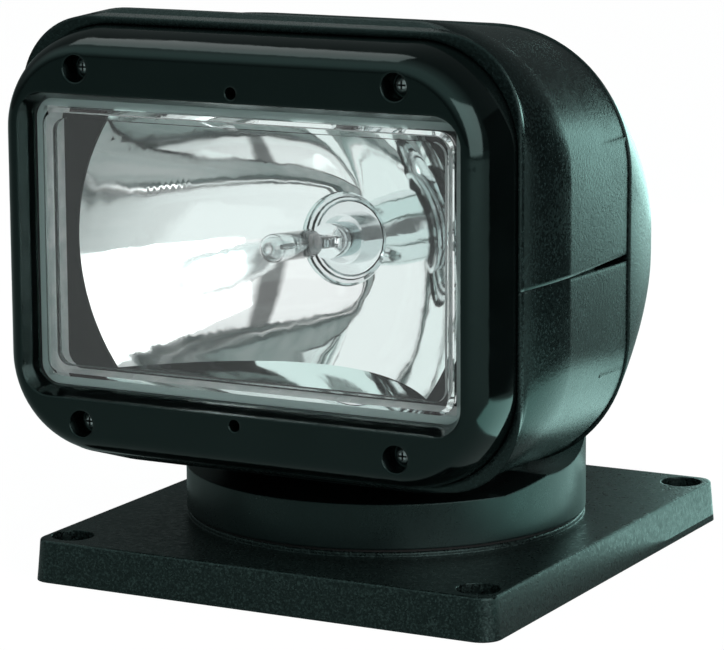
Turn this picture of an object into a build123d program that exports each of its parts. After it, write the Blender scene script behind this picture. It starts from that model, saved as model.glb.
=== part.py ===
from build123d import *
from math import acos, copysign, cos, pi, radians, sin, sqrt, tan
import os

# Motorised rotating spotlight. A square die-cast base carries a drum-shaped neck that pans
# about a hollow spindle. Two arms rise from the turntable inside the neck, pass through
# slots in the lamp head and hold it on a pair of trunnions, so that the head tilts.
# Millimetres, +Z up, the lens faces -Y. Origin: pan axis at the underside of the base.

# Base plate
PLATE_WIDTH = 162.5
PLATE_DEPTH = 176.5
PLATE_HEIGHT = 13.4
PLATE_DRAFT = 5.3
PLATE_CORNER_R = 6.5
PLATE_EDGE_R = 0.9
PLATE_TOP_WALL = 3.2
PLATE_RIM = 4.5
PLATE_LEDGE = 2.5
PLATE_RIB = 2.6
BOLT_SPACING_X = 143.0
BOLT_SPACING_Y = 155.0
BOLT_HOLE_R = 3.3
BOLT_RECESS_R = 6.8
BOLT_RECESS_DEPTH = 6.6
BOLT_BOSS_R = 9.3
RIB_CLEAR = 2.0
RING_RADIUS = 64.6
RING_HEIGHT = 1.6
RING_EDGE_R = 0.5
COVER_THICK = 2.0
COVER_GAP = 0.15
COVER_SCREW_BOSS_R = 4.2
COVER_SCREW_OFFSET = 12.0

# Screws: small ones hold plastic, large ones hold metal
SMALL_SCREW_R = 1.2
SMALL_HEAD_R = 2.7
LARGE_SCREW_R = 1.5
LARGE_HEAD_R = 3.0
YOKE_HEAD_R = 2.4
YOKE_HEAD_THICK = 2.0
TAPPED_GAP = 0.05
SCREW_SLACK = 0.2
SINK_SLACK = 0.3
SCREW_SUNK = 0.05
SCREW_TIP_ROOM = 1.0

# Pan spindle, its gear and its bearing
SPINDLE_R = 10.0
SPINDLE_BORE_R = 5.5
SPINDLE_RECESS = 0.3
SPINDLE_THREAD_R = 8.5
SPINDLE_FLANGE_R = 24.0
SPINDLE_FLANGE_THICK = 2.4
SPINDLE_FLANGE_GAP = 0.3
SPINDLE_SCREW_CIRCLE_R = 17.0
HUB_HEIGHT = 6.0
GEAR_LIFT = 0.4
BUSH_WALL = 2.5
WASHER_R = 34.0
WASHER_THICK = 1.0
NUT_THICK = 3.0
NUT_ACROSS_FLATS = 22.0
WASHER_GAP = 0.3
RUNNING_GAP = 0.05
FACE_GAP = 0.05
FIT_GAP = 0.02

# Gears
GEAR_MODULE = 1.0
GEAR_PRESSURE_ANGLE = 25.0
GEAR_ADDENDUM = 0.8
GEAR_DEDENDUM = 1.05
GEAR_BACKLASH = 0.16
PAN_GEAR_TEETH = 46
PAN_GEAR_WIDTH = 4.5
TILT_GEAR_TEETH = 40
TILT_GEAR_WIDTH = 6.0
TILT_GEAR_SPAN = 150.0
PINION_TEETH = 14
PINION_SHAFT_R = 2.5
PINION_OVERLAP = 0.5

# Neck and turntable
NECK_R = 65.0
NECK_WALL = 2.6
NECK_ROOF = 2.4
NECK_LIFT = 0.9
SEAL_INSET = 0.9
SEAL_WIDTH = 1.4
SEAL_GAP = 0.15
NECK_FRONT_Z = 30.2
NECK_FLAT_END_Y = -30.0
RAMP_SETBACK = 4.6
NECK_REAR_Z = 44.0
SADDLE_R = 71.8
DISC_R = 60.0
DISC_THICK = 2.6
DISC_HUB_GAP = 0.55
HUB_R = 16.0
NECK_BOSS_R = 4.0
NECK_BOSS_CIRCLE_R = 56.0
NECK_BOSS_ANGLE = 62.0
NECK_SCREW_REACH = 6.0
NECK_ARM_GAP = 0.3

# Tilt axis, arms and trunnions
AXIS_Y = -8.0
AXIS_Z = 105.5
TILT_DOWN = 5.0
TILT_UP = 60.0
ARM_X = 44.0
ARM_THICK = 8.0
ARM_HALF_WIDTH = 14.0
ARM_FOOT_OUT = 5.0
ARM_FOOT_INSET = 7.0
ARM_FOOT_THICK = 4.0
ARM_FOOT_EXTRA = 2.0
ARM_SCREW_OUT = 2.5
ARM_SCREW_DY = 9.0
TRUNNION_R = 4.0
TRUNNION_END = 2.5
TRUNNION_GEAR_END = 1.0
TILT_BUSH_R = 6.5
TILT_COLLAR_R = 8.5
TILT_COLLAR_THICK = 1.0
TILT_HUB_R = 9.0
TILT_HUB_PAST = 1.5
SLOT_CLEAR = 2.0
SLOT_SIDE_CLEAR = 1.5
LINER_WALL = 2.0
LINER_GAP = 0.15
SLOT_REACH = 110.0

# Lamp head shells: width, height and corner radius at four places along the depth. The lip
# stands round the bezel by small margins.
SHELL_WALL = 2.6
SHELL_FIT = 0.2
SEAM_Y = -8.0
CREASE_Y = -50.0
SHOULDER_Y = -74.0
LIP_Y = -79.0
HEAD_HALF_W = 88.5
SEAM_LOW_Z, SEAM_HIGH_Z, SEAM_CORNER_R = 35.6, 173.6, 43.4
CREASE_LOW_Z, CREASE_HIGH_Z, CREASE_CORNER_R = 37.0, 178.8, 44.2
SHOULDER_INSET, SHOULDER_LOW_Z, SHOULDER_HIGH_Z, SHOULDER_CORNER_R = 2.2, 39.6, 181.4, 37.0
LIP_SIDE, LIP_BELOW, LIP_ABOVE, LIP_CORNER_R = 1.2, 1.5, 2.3, 25.0
FLANGE_THICK = 2.6
FLANGE_OPEN_HALF_W = 78.0
FLANGE_OPEN_HALF_H = 47.0
FLANGE_OPEN_R = 10.0
SPLIT_Z = 104.3
SPLIT_START_Y = -60.0
SPLIT_RISE = 1.1
SPLIT_DROP = 1.2
HAIRLINE = 0.12
CUT_HALF_W = 120.0
TONGUE_THICK = 1.6
TONGUE_REACH = 5.0
TONGUE_LOW = 5.0
TONGUE_HIGH = 4.0
TONGUE_FOOT = 3.0
TONGUE_END_GAP = 0.5
SPIGOT_ROOT = 4.0
SPIGOT_EXTRA_R = 4.5
SPIGOT_ROOT_LAP = 0.6
SPIGOT_ROOT_R = 41.4
HOLLOW_PAST = 1.2
LUG_DEPTH = 18.0
LUG_HALF_H = 6.0
LUG_LAP = 1.0
LUG_HOLE_DEPTH = 15.0
RELIEF_TOP_Z = 63.0
RELIEF_DEEP_Z = 46.0
RELIEF_FOOT_Z = 38.0
RELIEF_LOW_Z = 30.0
RELIEF_DEPTH = 4.4
RELIEF_FOOT_DEPTH = 1.5
RELIEF_HALF_W = 60.0
RELIEF_CORE = 0.3

# Rear cover
DOME_DEPTH = 68.0
DOME_FLAT_HALF_W = 33.0
DOME_ANGLES = (0, 14, 28, 42, 56, 68, 79, 87.5)
DOME_CORNER_RATIO = 0.985
DOME_ROUND_RATIO = 0.7
DOME_PROUD = 0.6
DOME_GAP = 0.3
DOME_TOP_GAP = 1.7
COVER_POST_R = 6.5
COVER_POST_X = 69.0
COVER_POST_DZ = 30.0
COVER_SCREW_R = 2.0
COVER_HEAD_R = 4.0
COVER_SINK_R = 4.6
COVER_HEAD_Y = 4.0
COVER_HEAD_THICK = 3.0
COVER_POST_END_Y = 45.0
COVER_EDGE_Z = 108.0
COVER_EDGE_INSET = 1.4
COVER_CUT_END_Y = 60.0

# Bezel, lens and reflector
BEZEL_Z = 110.0
BEZEL_HALF_W = 84.5
BEZEL_HALF_H = 66.5
BEZEL_CORNER_R = 31.7
BEZEL_REAR_Y = -76.0
BEZEL_ROUND_Y = -78.0
BEZEL_FRONT_Y = -98.0
BEZEL_ROUND_IN = 8.0
BEZEL_ANGLES = (0, 22, 42, 60, 76, 90)
GASKET_THICK = 1.0
GASKET_INSET = 0.2
BEZEL_WALL = 3.0
BEZEL_FIT = 0.35
BEZEL_INNER_LEDGE = 3.0
WINDOW_HALF_W = 73.0
WINDOW_HALF_H = 44.4
WINDOW_CORNER_R = 6.5
WINDOW_FLARE = 2.8
WINDOW_PAST = 0.3
LENS_LEDGE_Y = -91.3
LENS_GASKET_THICK = 1.2
LENS_FLANGE_THICK = 3.0
LENS_FLANGE_OVERLAP = 1.4
LENS_PANE_INSET = 2.6
LENS_PANE_STEP = 3.3
LENS_RAISE = 2.6
POCKET_WALL = 2.2
UNIT_GAP = 0.15
UNIT_CORNER_R = 7.7
POCKET_CORNER_R = 10.1
LENS_CHAMFER = 1.4
LENS_WEB = 0.6
RIM_DEPTH = 10.5
RIM_WALL_W = 2.2
RIM_WALL_H = 2.6
RIM_TAPER_W = 0.8
RIM_TAPER_H = 1.4
MASK_THICK = 1.0
MASK_GAP = 0.2
MIRROR_LIP = 3.0
CLAMP_THICK = 1.5
CLAMP_LAP_W = 3.0
CLAMP_LAP_H = 2.5
CLAMP_HALF_W = 82.0
CLAMP_HALF_H = 49.8
CLAMP_SCREW_X = 80.0
CLAMP_SCREW_DZ = 25.0
BEZEL_SCREW_X = 54.3
BEZEL_SCREW_DZ = 54.75
BEZEL_SCREW_HEAD_R = 2.6
BEZEL_SCREW_HEAD = 2.0
BEZEL_SCREW_R = 1.5
BEZEL_SCREW_LENGTH = 3.0
BEZEL_HEAD_EDGE_R = 0.9
CROSS_HALF_L = 1.5
CROSS_HALF_W = 0.35
CROSS_DEPTH = 1.1
BEZEL_SCREW_TOP_Y = -92.1
BEZEL_SINK_R = 4.2
BEZEL_BOSS_R = 6.0
BEZEL_POST_R = 4.2
BEZEL_POST_LENGTH = 7.0
CLAMP_SCREW_R = 1.0
CLAMP_SCREW_HEAD_R = 1.9
CLAMP_SCREW_HEAD = 1.4
DRAIN_DZ = 50.05
DRAIN_R = 1.9
DRAIN_DEPTH = 6.0
MIRROR_AXIS_Z = 109.5
MIRROR_APEX_Y = -24.0
MIRROR_FOCUS = 22.0
MIRROR_HALF_H = 40.8
MIRROR_WALL = 1.4
MIRROR_NECK_R = 15.0
MIRROR_NECK_Y = -21.0
MIRROR_REACH = 86.0
MIRROR_NECK_LAP = 4.0

# Bulb and its holder
BULB_AXIS_Z = 106.6
BULB_PIVOT_Y = -28.0
BULB_RISE = 4.7
BULB_R = 4.4
BULB_TIP_Y = -76.4
BULB_PINCH_Y = -46.0
BULB_BASE_R = 5.6
BULB_BASE_FRONT_Y = -38.0
BULB_CUP_R = 8.2
BULB_CUP_FRONT_Y = -29.0
BULB_DISC_R = 11.6
BULB_DISC_THICK = 1.6
BULB_CUP_WALL = 0.8
BULB_CUP_DEPTH = 4.0
HOLDER_FLANGE_R = 15.6
HOLDER_BODY_R = 9.5
HOLDER_REAR_Y = -12.0
HOLDER_FLANGE_THICK = 2.0
HOLDER_EDGE_GAP = 0.3
HOLDER_BORE_DEPTH = 1.05
CLIP_WIRE_R = 0.6
CLIP_SPREAD = 10.3
CLIP_HALF_L = 12.0
PINCH_HALF_W = 4.0
PINCH_HALF_H = 1.8
PINCH_DEPTH = 4.0

# Gearmotors
PAN_BOX_HALF_W = 13.0
PAN_BOX_FRONT_Y = 22.0
PAN_BOX_REAR_Y = 44.0
PAN_BOX_LOW_Z = 28.2
PAN_BOX_HIGH_Z = 36.4
PAN_FOOT_DEPTH = 5.0
PAN_SCREW_INSET = 4.0
PAN_SCREW_REACH = 5.0
PAN_SHAFT_DEPTH = 5.7
SHAFT_END_GAP = 0.5
PAN_MOTOR_R = 8.0
PAN_MOTOR_LENGTH = 26.0
PAN_MOTOR_Y = 35.5
PAN_MOTOR_Z = 31.2
TILT_BOX_X0, TILT_BOX_X1 = 3.0, 24.0
TILT_BOX_HALF_D = 13.0
TILT_BOX_LOW = 9.5
TILT_BOX_HIGH = 13.5
TILT_BOX_EDGE_R = 2.0
TILT_SHAFT_DEPTH = 15.0
TILT_GEAR_GAP = 2.0
TILT_MOTOR_R = 11.5
TILT_MOTOR_LENGTH = 36.0
TILT_MOTOR_DZ = 3.5
BRACKET_DEPTH = 8.0
BRACKET_GAP = 1.0
MOTOR_BELL = 3.6
MOTOR_EDGE_R = 1.0
MOTOR_TAB_INSET = 2.8
MOTOR_TAB_HALF_W = 0.8
MOTOR_TAB_HALF_T = 0.4

# Places worked out from the sizes above
cover_top = COVER_THICK
cavity_top = PLATE_HEIGHT - PLATE_TOP_WALL
ring_top = PLATE_HEIGHT + RING_HEIGHT
hub_low = ring_top + WASHER_THICK + FACE_GAP
disc_low = hub_low + DISC_HUB_GAP
disc_top = disc_low + DISC_THICK
hub_top = hub_low + HUB_HEIGHT
pan_gear_low = hub_top + GEAR_LIFT
pan_gear_top = pan_gear_low + PAN_GEAR_WIDTH
nut_top = pan_gear_top + NUT_THICK
pan_mesh = GEAR_MODULE * (PAN_GEAR_TEETH + PINION_TEETH) / 2
tilt_mesh = GEAR_MODULE * (TILT_GEAR_TEETH + PINION_TEETH) / 2
neck_low = ring_top + NECK_LIFT
arm_inner = ARM_X - ARM_THICK / 2
arm_outer = ARM_X + ARM_THICK / 2
slot_inner = arm_inner - SLOT_SIDE_CLEAR
slot_outer = arm_outer + SLOT_SIDE_CLEAR
liner_inner = slot_inner - LINER_WALL
liner_outer = slot_outer + LINER_WALL
seam_mid_z = (SEAM_LOW_Z + SEAM_HIGH_Z) / 2
seam_half_h = (SEAM_HIGH_Z - SEAM_LOW_Z) / 2
lip_low_z = BEZEL_Z - BEZEL_HALF_H - LIP_BELOW
lip_high_z = BEZEL_Z + BEZEL_HALF_H + LIP_ABOVE
gasket_y = BEZEL_REAR_Y + GASKET_THICK
flange_back_y = gasket_y + FLANGE_THICK
lens_front_y = LENS_LEDGE_Y + LENS_GASKET_THICK
lens_back_y = lens_front_y + LENS_FLANGE_THICK
rim_y = lens_back_y + UNIT_GAP
mask_y = rim_y + RIM_DEPTH
mirror_rim_y = mask_y + MASK_THICK
clamp_y = mirror_rim_y + MIRROR_LIP + FACE_GAP
clamp_back_y = clamp_y + CLAMP_THICK
bezel_stop_y = gasket_y - FACE_GAP
lens_half_w = WINDOW_HALF_W + LENS_FLANGE_OVERLAP
lens_half_h = WINDOW_HALF_H + LENS_FLANGE_OVERLAP
tilt_pinion_z = AXIS_Z + tilt_mesh
tilt_gear_x0 = TILT_BOX_X1 + TILT_GEAR_GAP
tilt_gear_x1 = tilt_gear_x0 + TILT_GEAR_WIDTH
pan_shaft_top = PAN_BOX_LOW_Z + PAN_SHAFT_DEPTH
tilt_shaft_x = TILT_BOX_X1 - TILT_SHAFT_DEPTH
blade_x = HEAD_HALF_W - SHELL_WALL - SHELL_FIT
blade_rear_y = SEAM_Y - LUG_DEPTH - TONGUE_END_GAP
screw_seat_y = BEZEL_SCREW_TOP_Y + BEZEL_SCREW_HEAD


# Cuts run 1 mm past the faces that they open


def facing(y, z=0.0):
    """Drawing plane across the depth: X to the right, Z up, extrusions run towards the lens."""
    return Plane(origin=(0, y, z), x_dir=(1, 0, 0), z_dir=(0, -1, 0))


def side(x):
    """Drawing plane along the depth: Y to the right, Z up, extrusions run towards +X."""
    return Plane(origin=(x, 0, 0), x_dir=(0, 1, 0), z_dir=(1, 0, 0))


def slab(half_w, half_h, corner, y_rear, y_front, z=BEZEL_Z):
    """Rounded rectangular block between two depths."""
    outline = RectangleRounded(2 * half_w, 2 * half_h, corner)
    return extrude(facing(y_rear, z) * outline, y_rear - y_front)


def box(x0, x1, y0, y1, z0, z1):
    """Box between two corners."""
    middle = Pos((x0 + x1) / 2, (y0 + y1) / 2, (z0 + z1) / 2)
    return middle * Box(x1 - x0, y1 - y0, z1 - z0)


def rod_x(radius, x0, x1, y, z):
    return Pos((x0 + x1) / 2, y, z) * Rot(0, 90, 0) * Cylinder(radius, abs(x1 - x0))


def rod_y(radius, x, y0, y1, z):
    return Pos(x, (y0 + y1) / 2, z) * Rot(90, 0, 0) * Cylinder(radius, abs(y1 - y0))


def rod_z(radius, x, y, z0, z1):
    return Pos(x, y, (z0 + z1) / 2) * Cylinder(radius, abs(z1 - z0))


def signs():
    """The four corners of a rectangle, as pairs of signs."""
    return [(sx, sz) for sx in (-1, 1) for sz in (-1, 1)]


def fuse(pieces):
    """One solid from several overlapping ones."""
    result = pieces[0]
    for piece in pieces[1:]:
        result = result + piece
    return result


def gear_outline(teeth, first_angle, span=360.0):
    """Closed involute outline with a tooth centred on first_angle, in degrees."""
    pitch_r = GEAR_MODULE * teeth / 2
    base_r = pitch_r * cos(radians(GEAR_PRESSURE_ANGLE))
    tip_r = pitch_r + GEAR_MODULE * GEAR_ADDENDUM
    root_r = pitch_r - GEAR_MODULE * GEAR_DEDENDUM
    flank_low = max(base_r, root_r)

    def spread(radius):
        angle = acos(min(1.0, base_r / radius))
        return tan(angle) - angle

    half_tooth = pi / (2 * teeth) - GEAR_BACKLASH / (2 * pitch_r)
    at_pitch = half_tooth + spread(pitch_r)
    flank = [flank_low, (flank_low + tip_r) / 2, tip_r]
    points = []
    count = teeth if span >= 360 else int(span / 360 * teeth) // 2 * 2 + 1
    for step in range(count):
        place = step if count == teeth else step - count // 2
        centre = radians(first_angle) + 2 * pi * place / teeth
        rising = [(radius, centre - at_pitch + spread(radius)) for radius in flank]
        falling = [(radius, centre + at_pitch - spread(radius)) for radius in reversed(flank)]
        root = [(root_r, rising[0][1])] if root_r < flank_low else []
        drop = [(root_r, falling[-1][1])] if root_r < flank_low else []
        points += [(r * cos(a), r * sin(a)) for r, a in root + rising + falling + drop]
    return points


def gear_plate(teeth, first_angle, width, span=360.0):
    """Toothed plate standing on the drawing plane; a partial span becomes a sector."""
    points = gear_outline(teeth, first_angle, span)
    if span < 360:
        points.append((0, 0))
    return extrude(make_face(Polyline(*points, close=True)), width)


def countersunk(x, y, z_top, z_tip, head_r, shank_r, down=True):
    """Countersunk screw along Z with its flat head flush at z_top."""
    step = -1 if down else 1
    cone_low = z_top + step * (head_r - shank_r)
    low, high = min(z_top, cone_low), max(z_top, cone_low)
    wide_up = (shank_r, head_r) if down else (head_r, shank_r)
    head = Pos(x, y, (low + high) / 2) * Cone(wide_up[0], wide_up[1], high - low)
    return head + rod_z(shank_r, x, y, cone_low, z_tip)


def sink(x, y, z_face, z_tip, head_r, screw_r, down=True):
    """Countersunk clearance hole for a screw of the given size."""
    return countersunk(x, y, z_face, z_tip, head_r + SINK_SLACK, screw_r + SCREW_SLACK, down)


def base_plate():
    """Square casting: drafted skirt, raised ring, corner bolt recesses, ribbed underside."""
    skirt = extrude(RectangleRounded(PLATE_WIDTH, PLATE_DEPTH, PLATE_CORNER_R), PLATE_HEIGHT,
                    taper=PLATE_DRAFT)
    skirt = fillet(skirt.faces().sort_by(Axis.Z)[-1].edges(), PLATE_EDGE_R)
    ring = rod_z(RING_RADIUS, 0, 0, PLATE_HEIGHT - 1, ring_top)
    ring = fillet(ring.edges().group_by(Axis.Z)[-1], RING_EDGE_R)
    pocket_w = PLATE_WIDTH - 2 * PLATE_RIM
    pocket_d = PLATE_DEPTH - 2 * PLATE_RIM
    pocket = extrude(Rectangle(pocket_w, pocket_d), cover_top)
    hollow = extrude(Rectangle(pocket_w - 2 * PLATE_LEDGE, pocket_d - 2 * PLATE_LEDGE), cavity_top)
    body = skirt + ring - pocket - hollow
    into_roof = cavity_top + PLATE_TOP_WALL / 2
    wall_r = SPINDLE_FLANGE_R + SPINDLE_FLANGE_GAP
    posts = [rod_z(wall_r + PLATE_RIB, 0, 0, cover_top, into_roof)]
    for x, y in bolt_places():
        posts.append(rod_z(BOLT_BOSS_R, x, y, 0, into_roof) & skirt)
    for x, y in cover_screw_places():
        posts.append(rod_z(COVER_SCREW_BOSS_R, x, y, cover_top, into_roof))
    for angle in (0, 45, 90, 135):
        rib = Box(pocket_w, PLATE_RIB, cavity_top - cover_top - RIB_CLEAR)
        posts.append(Pos(0, 0, (cavity_top + cover_top + RIB_CLEAR) / 2) * Rot(0, 0, angle) * rib)
    body = fuse([body] + posts)
    body -= rod_z(wall_r, 0, 0, -1, cavity_top)
    body -= rod_z(SPINDLE_R + FIT_GAP, 0, 0, 0, ring_top + 1)
    for x, y in bolt_places():
        body -= rod_z(BOLT_HOLE_R, x, y, -1, PLATE_HEIGHT + 1)
        body -= rod_z(BOLT_RECESS_R, x, y, PLATE_HEIGHT - BOLT_RECESS_DEPTH, PLATE_HEIGHT + 1)
    for x, y in cover_screw_places():
        body -= rod_z(SMALL_SCREW_R + TAPPED_GAP, x, y, 0, cavity_top - SCREW_TIP_ROOM)
    for x, y in spindle_screw_places():
        body -= sink(x, y, ring_top, 0, LARGE_HEAD_R, LARGE_SCREW_R)
    return body


def bolt_places():
    """Corner bolt centres."""
    return [(sx * BOLT_SPACING_X / 2, sy * BOLT_SPACING_Y / 2) for sx, sy in signs()]


def cover_screw_places():
    """One near the middle of each side of the base, just inside the rim."""
    x = PLATE_WIDTH / 2 - PLATE_RIM - COVER_SCREW_BOSS_R
    y = PLATE_DEPTH / 2 - PLATE_RIM - COVER_SCREW_BOSS_R
    aside = COVER_SCREW_OFFSET
    return [(x, aside), (-x, aside), (aside, y), (-aside, -y)]


def spindle_screw_places():
    """Four on a circle, at 45 degrees."""
    r = SPINDLE_SCREW_CIRCLE_R * sqrt(0.5)
    return [(sx * r, sy * r) for sx, sy in signs()]


def base_cover():
    """Flat plate that closes the underside, notched round the corner bolt posts."""
    width = PLATE_WIDTH - 2 * PLATE_RIM - 2 * COVER_GAP
    depth = PLATE_DEPTH - 2 * PLATE_RIM - 2 * COVER_GAP
    plate = extrude(Rectangle(width, depth), COVER_THICK)
    plate -= rod_z(SPINDLE_R + COVER_GAP, 0, 0, -1, COVER_THICK + 1)
    for x, y in bolt_places():
        plate -= rod_z(BOLT_BOSS_R + 2 * COVER_GAP, x, y, -1, COVER_THICK + 1)
    for x, y in cover_screw_places():
        plate -= sink(x, y, 0, COVER_THICK + 1, SMALL_HEAD_R, SMALL_SCREW_R, down=False)
    return plate


def cover_screws():
    tip = cavity_top - 2 * SCREW_TIP_ROOM
    return [countersunk(x, y, SCREW_SUNK, tip, SMALL_HEAD_R, SMALL_SCREW_R, down=False)
            for x, y in cover_screw_places()]


def pan_spindle():
    """Hollow post with a flange bolted up under the base; the supply cable runs through it."""
    shoulder = pan_gear_low
    post = rod_z(SPINDLE_R, 0, 0, SPINDLE_RECESS, shoulder)
    thread = rod_z(SPINDLE_THREAD_R, 0, 0, shoulder, nut_top)
    flange = rod_z(SPINDLE_FLANGE_R, 0, 0, cavity_top - SPINDLE_FLANGE_THICK, cavity_top)
    body = post + thread + flange - rod_z(SPINDLE_BORE_R, 0, 0, 0, nut_top + 1)
    for x, y in spindle_screw_places():
        body -= rod_z(LARGE_SCREW_R + TAPPED_GAP, x, y, 0, cavity_top + 1)
    return body


def spindle_screws():
    tip = cavity_top - SPINDLE_FLANGE_THICK
    return [countersunk(x, y, ring_top - SCREW_SUNK, tip, LARGE_HEAD_R, LARGE_SCREW_R)
            for x, y in spindle_screw_places()]


def thrust_washer():
    outer = rod_z(WASHER_R, 0, 0, ring_top, ring_top + WASHER_THICK)
    return outer - rod_z(SPINDLE_R + WASHER_GAP, 0, 0, ring_top - 1, ring_top + WASHER_THICK + 1)


def neck_seal():
    """Rubber ring on the raised ring, just under the rim of the neck."""
    low, high = ring_top, neck_low - SEAL_GAP
    outer_r = NECK_R - SEAL_INSET
    return rod_z(outer_r, 0, 0, low, high) - rod_z(outer_r - SEAL_WIDTH, 0, 0, low - 1, high + 1)


def pan_gear():
    """Fixed gear on the spindle; the turntable's pinion walks round it."""
    gear = Pos(0, 0, pan_gear_low) * gear_plate(PAN_GEAR_TEETH, 90, PAN_GEAR_WIDTH)
    return gear - rod_z(SPINDLE_THREAD_R + FIT_GAP, 0, 0, 0, nut_top)


def spindle_nut():
    hexagon = extrude(RegularPolygon(NUT_ACROSS_FLATS / 2, 6, major_radius=False), NUT_THICK)
    nut = Pos(0, 0, pan_gear_top) * hexagon
    return nut - rod_z(SPINDLE_THREAD_R + FIT_GAP, 0, 0, 0, nut_top + 1)


def neck_boss_places():
    """Four bosses on a circle, clear of the arms."""
    turn = radians(NECK_BOSS_ANGLE)
    x, y = NECK_BOSS_CIRCLE_R * cos(turn), NECK_BOSS_CIRCLE_R * sin(turn)
    return [(sx * x, sy * y) for sx, sy in signs()]


def turntable_disc():
    """Rotating floor of the neck, with a hub that turns on the spindle."""
    body = rod_z(DISC_R, 0, 0, disc_low, disc_top)
    body += rod_z(WASHER_R, 0, 0, hub_low, disc_low)
    body += rod_z(HUB_R, 0, 0, disc_low, hub_top)
    body -= rod_z(SPINDLE_R + BUSH_WALL + FIT_GAP, 0, 0, 0, hub_top + 1)
    for x, y in neck_boss_places():
        body -= sink(x, y, disc_low, disc_top + 1, SMALL_HEAD_R, SMALL_SCREW_R, down=False)
    for x, y in arm_screw_places():
        body -= rod_z(LARGE_SCREW_R + TAPPED_GAP, x, y, 0, disc_top + 1)
    for x, y in pan_screw_places():
        body -= rod_z(SMALL_SCREW_R + SCREW_SLACK, x, y, 0, disc_top + 1)
    return body


def pan_bush():
    outer = rod_z(SPINDLE_R + BUSH_WALL, 0, 0, hub_low, hub_top)
    return outer - rod_z(SPINDLE_R + RUNNING_GAP, 0, 0, 0, hub_top + 1)


def neck_profile(drop, low):
    """Side outline under the neck's roof: flat front, ramp, saddle round the tilt axis, flat rear."""
    saddle = SADDLE_R + drop
    front_z = NECK_FRONT_Z - drop
    rear_z = NECK_REAR_Z - drop
    ramp_y = AXIS_Y - RAMP_SETBACK
    ramp_z = AXIS_Z - sqrt(saddle ** 2 - RAMP_SETBACK ** 2)
    crest_y = AXIS_Y + sqrt(saddle ** 2 - (AXIS_Z - rear_z) ** 2)
    mid_y = (ramp_y + crest_y) / 2
    mid_z = AXIS_Z - sqrt(saddle ** 2 - (mid_y - AXIS_Y) ** 2)
    reach = NECK_R + 1
    roof = Polyline((-reach, low), (-reach, front_z), (NECK_FLAT_END_Y, front_z), (ramp_y, ramp_z))
    arc = ThreePointArc((ramp_y, ramp_z), (mid_y, mid_z), (crest_y, rear_z))
    back = Polyline((crest_y, rear_z), (reach, rear_z), (reach, low), (-reach, low))
    face = make_face([roof, arc, back])
    return extrude(side(-reach) * face, 2 * reach)


def neck_shell():
    """Drum-shaped moulding whose roof is hollowed to clear the tilting head."""
    below = neck_low - 1
    outer = rod_z(NECK_R, 0, 0, neck_low, NECK_REAR_Z + 1) & neck_profile(0, neck_low)
    inner = rod_z(NECK_R - NECK_WALL, 0, 0, below, NECK_REAR_Z + 1) & neck_profile(NECK_ROOF, below)
    body = outer - inner
    column = rod_z(NECK_R - NECK_WALL / 2, 0, 0, 0, NECK_REAR_Z) & neck_profile(NECK_ROOF / 2, 0)
    for x, y in neck_boss_places():
        body += rod_z(NECK_BOSS_R, x, y, disc_top, NECK_REAR_Z) & column
        body -= rod_z(SMALL_SCREW_R + TAPPED_GAP, x, y, 0, disc_top + NECK_SCREW_REACH + SCREW_TIP_ROOM)
    half_w = ARM_HALF_WIDTH + NECK_ARM_GAP
    for sx in (-1, 1):
        x0, x1 = sorted((sx * (arm_inner - NECK_ARM_GAP), sx * (arm_outer + NECK_ARM_GAP)))
        body -= box(x0, x1, AXIS_Y - half_w, AXIS_Y + half_w, NECK_FRONT_Z - NECK_ROOF - 2, NECK_REAR_Z + 2)
    return body


def neck_screws():
    tip = disc_top + NECK_SCREW_REACH
    return [countersunk(x, y, disc_low + SCREW_SUNK, tip, SMALL_HEAD_R, SMALL_SCREW_R, down=False)
            for x, y in neck_boss_places()]


def arm_screw_places():
    """Two through the foot of each arm, on its outer side."""
    x = arm_outer + ARM_SCREW_OUT
    return [(sx * x, AXIS_Y + sy * ARM_SCREW_DY) for sx, sy in signs()]


def yoke_arm(sx):
    """Upright plate with a foot on the turntable and a round eye at the tilt axis."""
    x0, x1 = sorted((sx * arm_inner, sx * arm_outer))
    foot_x0, foot_x1 = sorted((sx * (arm_inner - ARM_FOOT_INSET), sx * (arm_outer + ARM_FOOT_OUT)))
    foot_top = disc_top + ARM_FOOT_THICK
    half = ARM_HALF_WIDTH + ARM_FOOT_EXTRA
    arm = box(x0, x1, AXIS_Y - ARM_HALF_WIDTH, AXIS_Y + ARM_HALF_WIDTH, disc_top, AXIS_Z)
    arm += rod_x(ARM_HALF_WIDTH, x0, x1, AXIS_Y, AXIS_Z)
    arm += box(foot_x0, foot_x1, AXIS_Y - half, AXIS_Y + half, disc_top, foot_top)
    arm -= rod_x(TRUNNION_R + FIT_GAP, x0 - 1, x1 + 1, AXIS_Y, AXIS_Z)
    for x, y in arm_screw_places():
        if x * sx > 0:
            arm -= rod_z(LARGE_SCREW_R + SCREW_SLACK, x, y, disc_top - 1, foot_top + 1)
    return arm


def yoke_screws():
    seat = disc_top + ARM_FOOT_THICK
    head_top = seat + YOKE_HEAD_THICK
    return [rod_z(LARGE_SCREW_R, x, y, disc_low, seat) + rod_z(YOKE_HEAD_R, x, y, seat, head_top)
            for x, y in arm_screw_places()]


def trunnion(sx):
    """Fixed axle through the eye of an arm; the right-hand one also carries the tilt gear."""
    outer = liner_outer + TRUNNION_END
    inner = tilt_gear_x0 - TRUNNION_GEAR_END if sx > 0 else liner_inner - TRUNNION_END
    return rod_x(TRUNNION_R, sx * inner, sx * outer, AXIS_Y, AXIS_Z)


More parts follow.
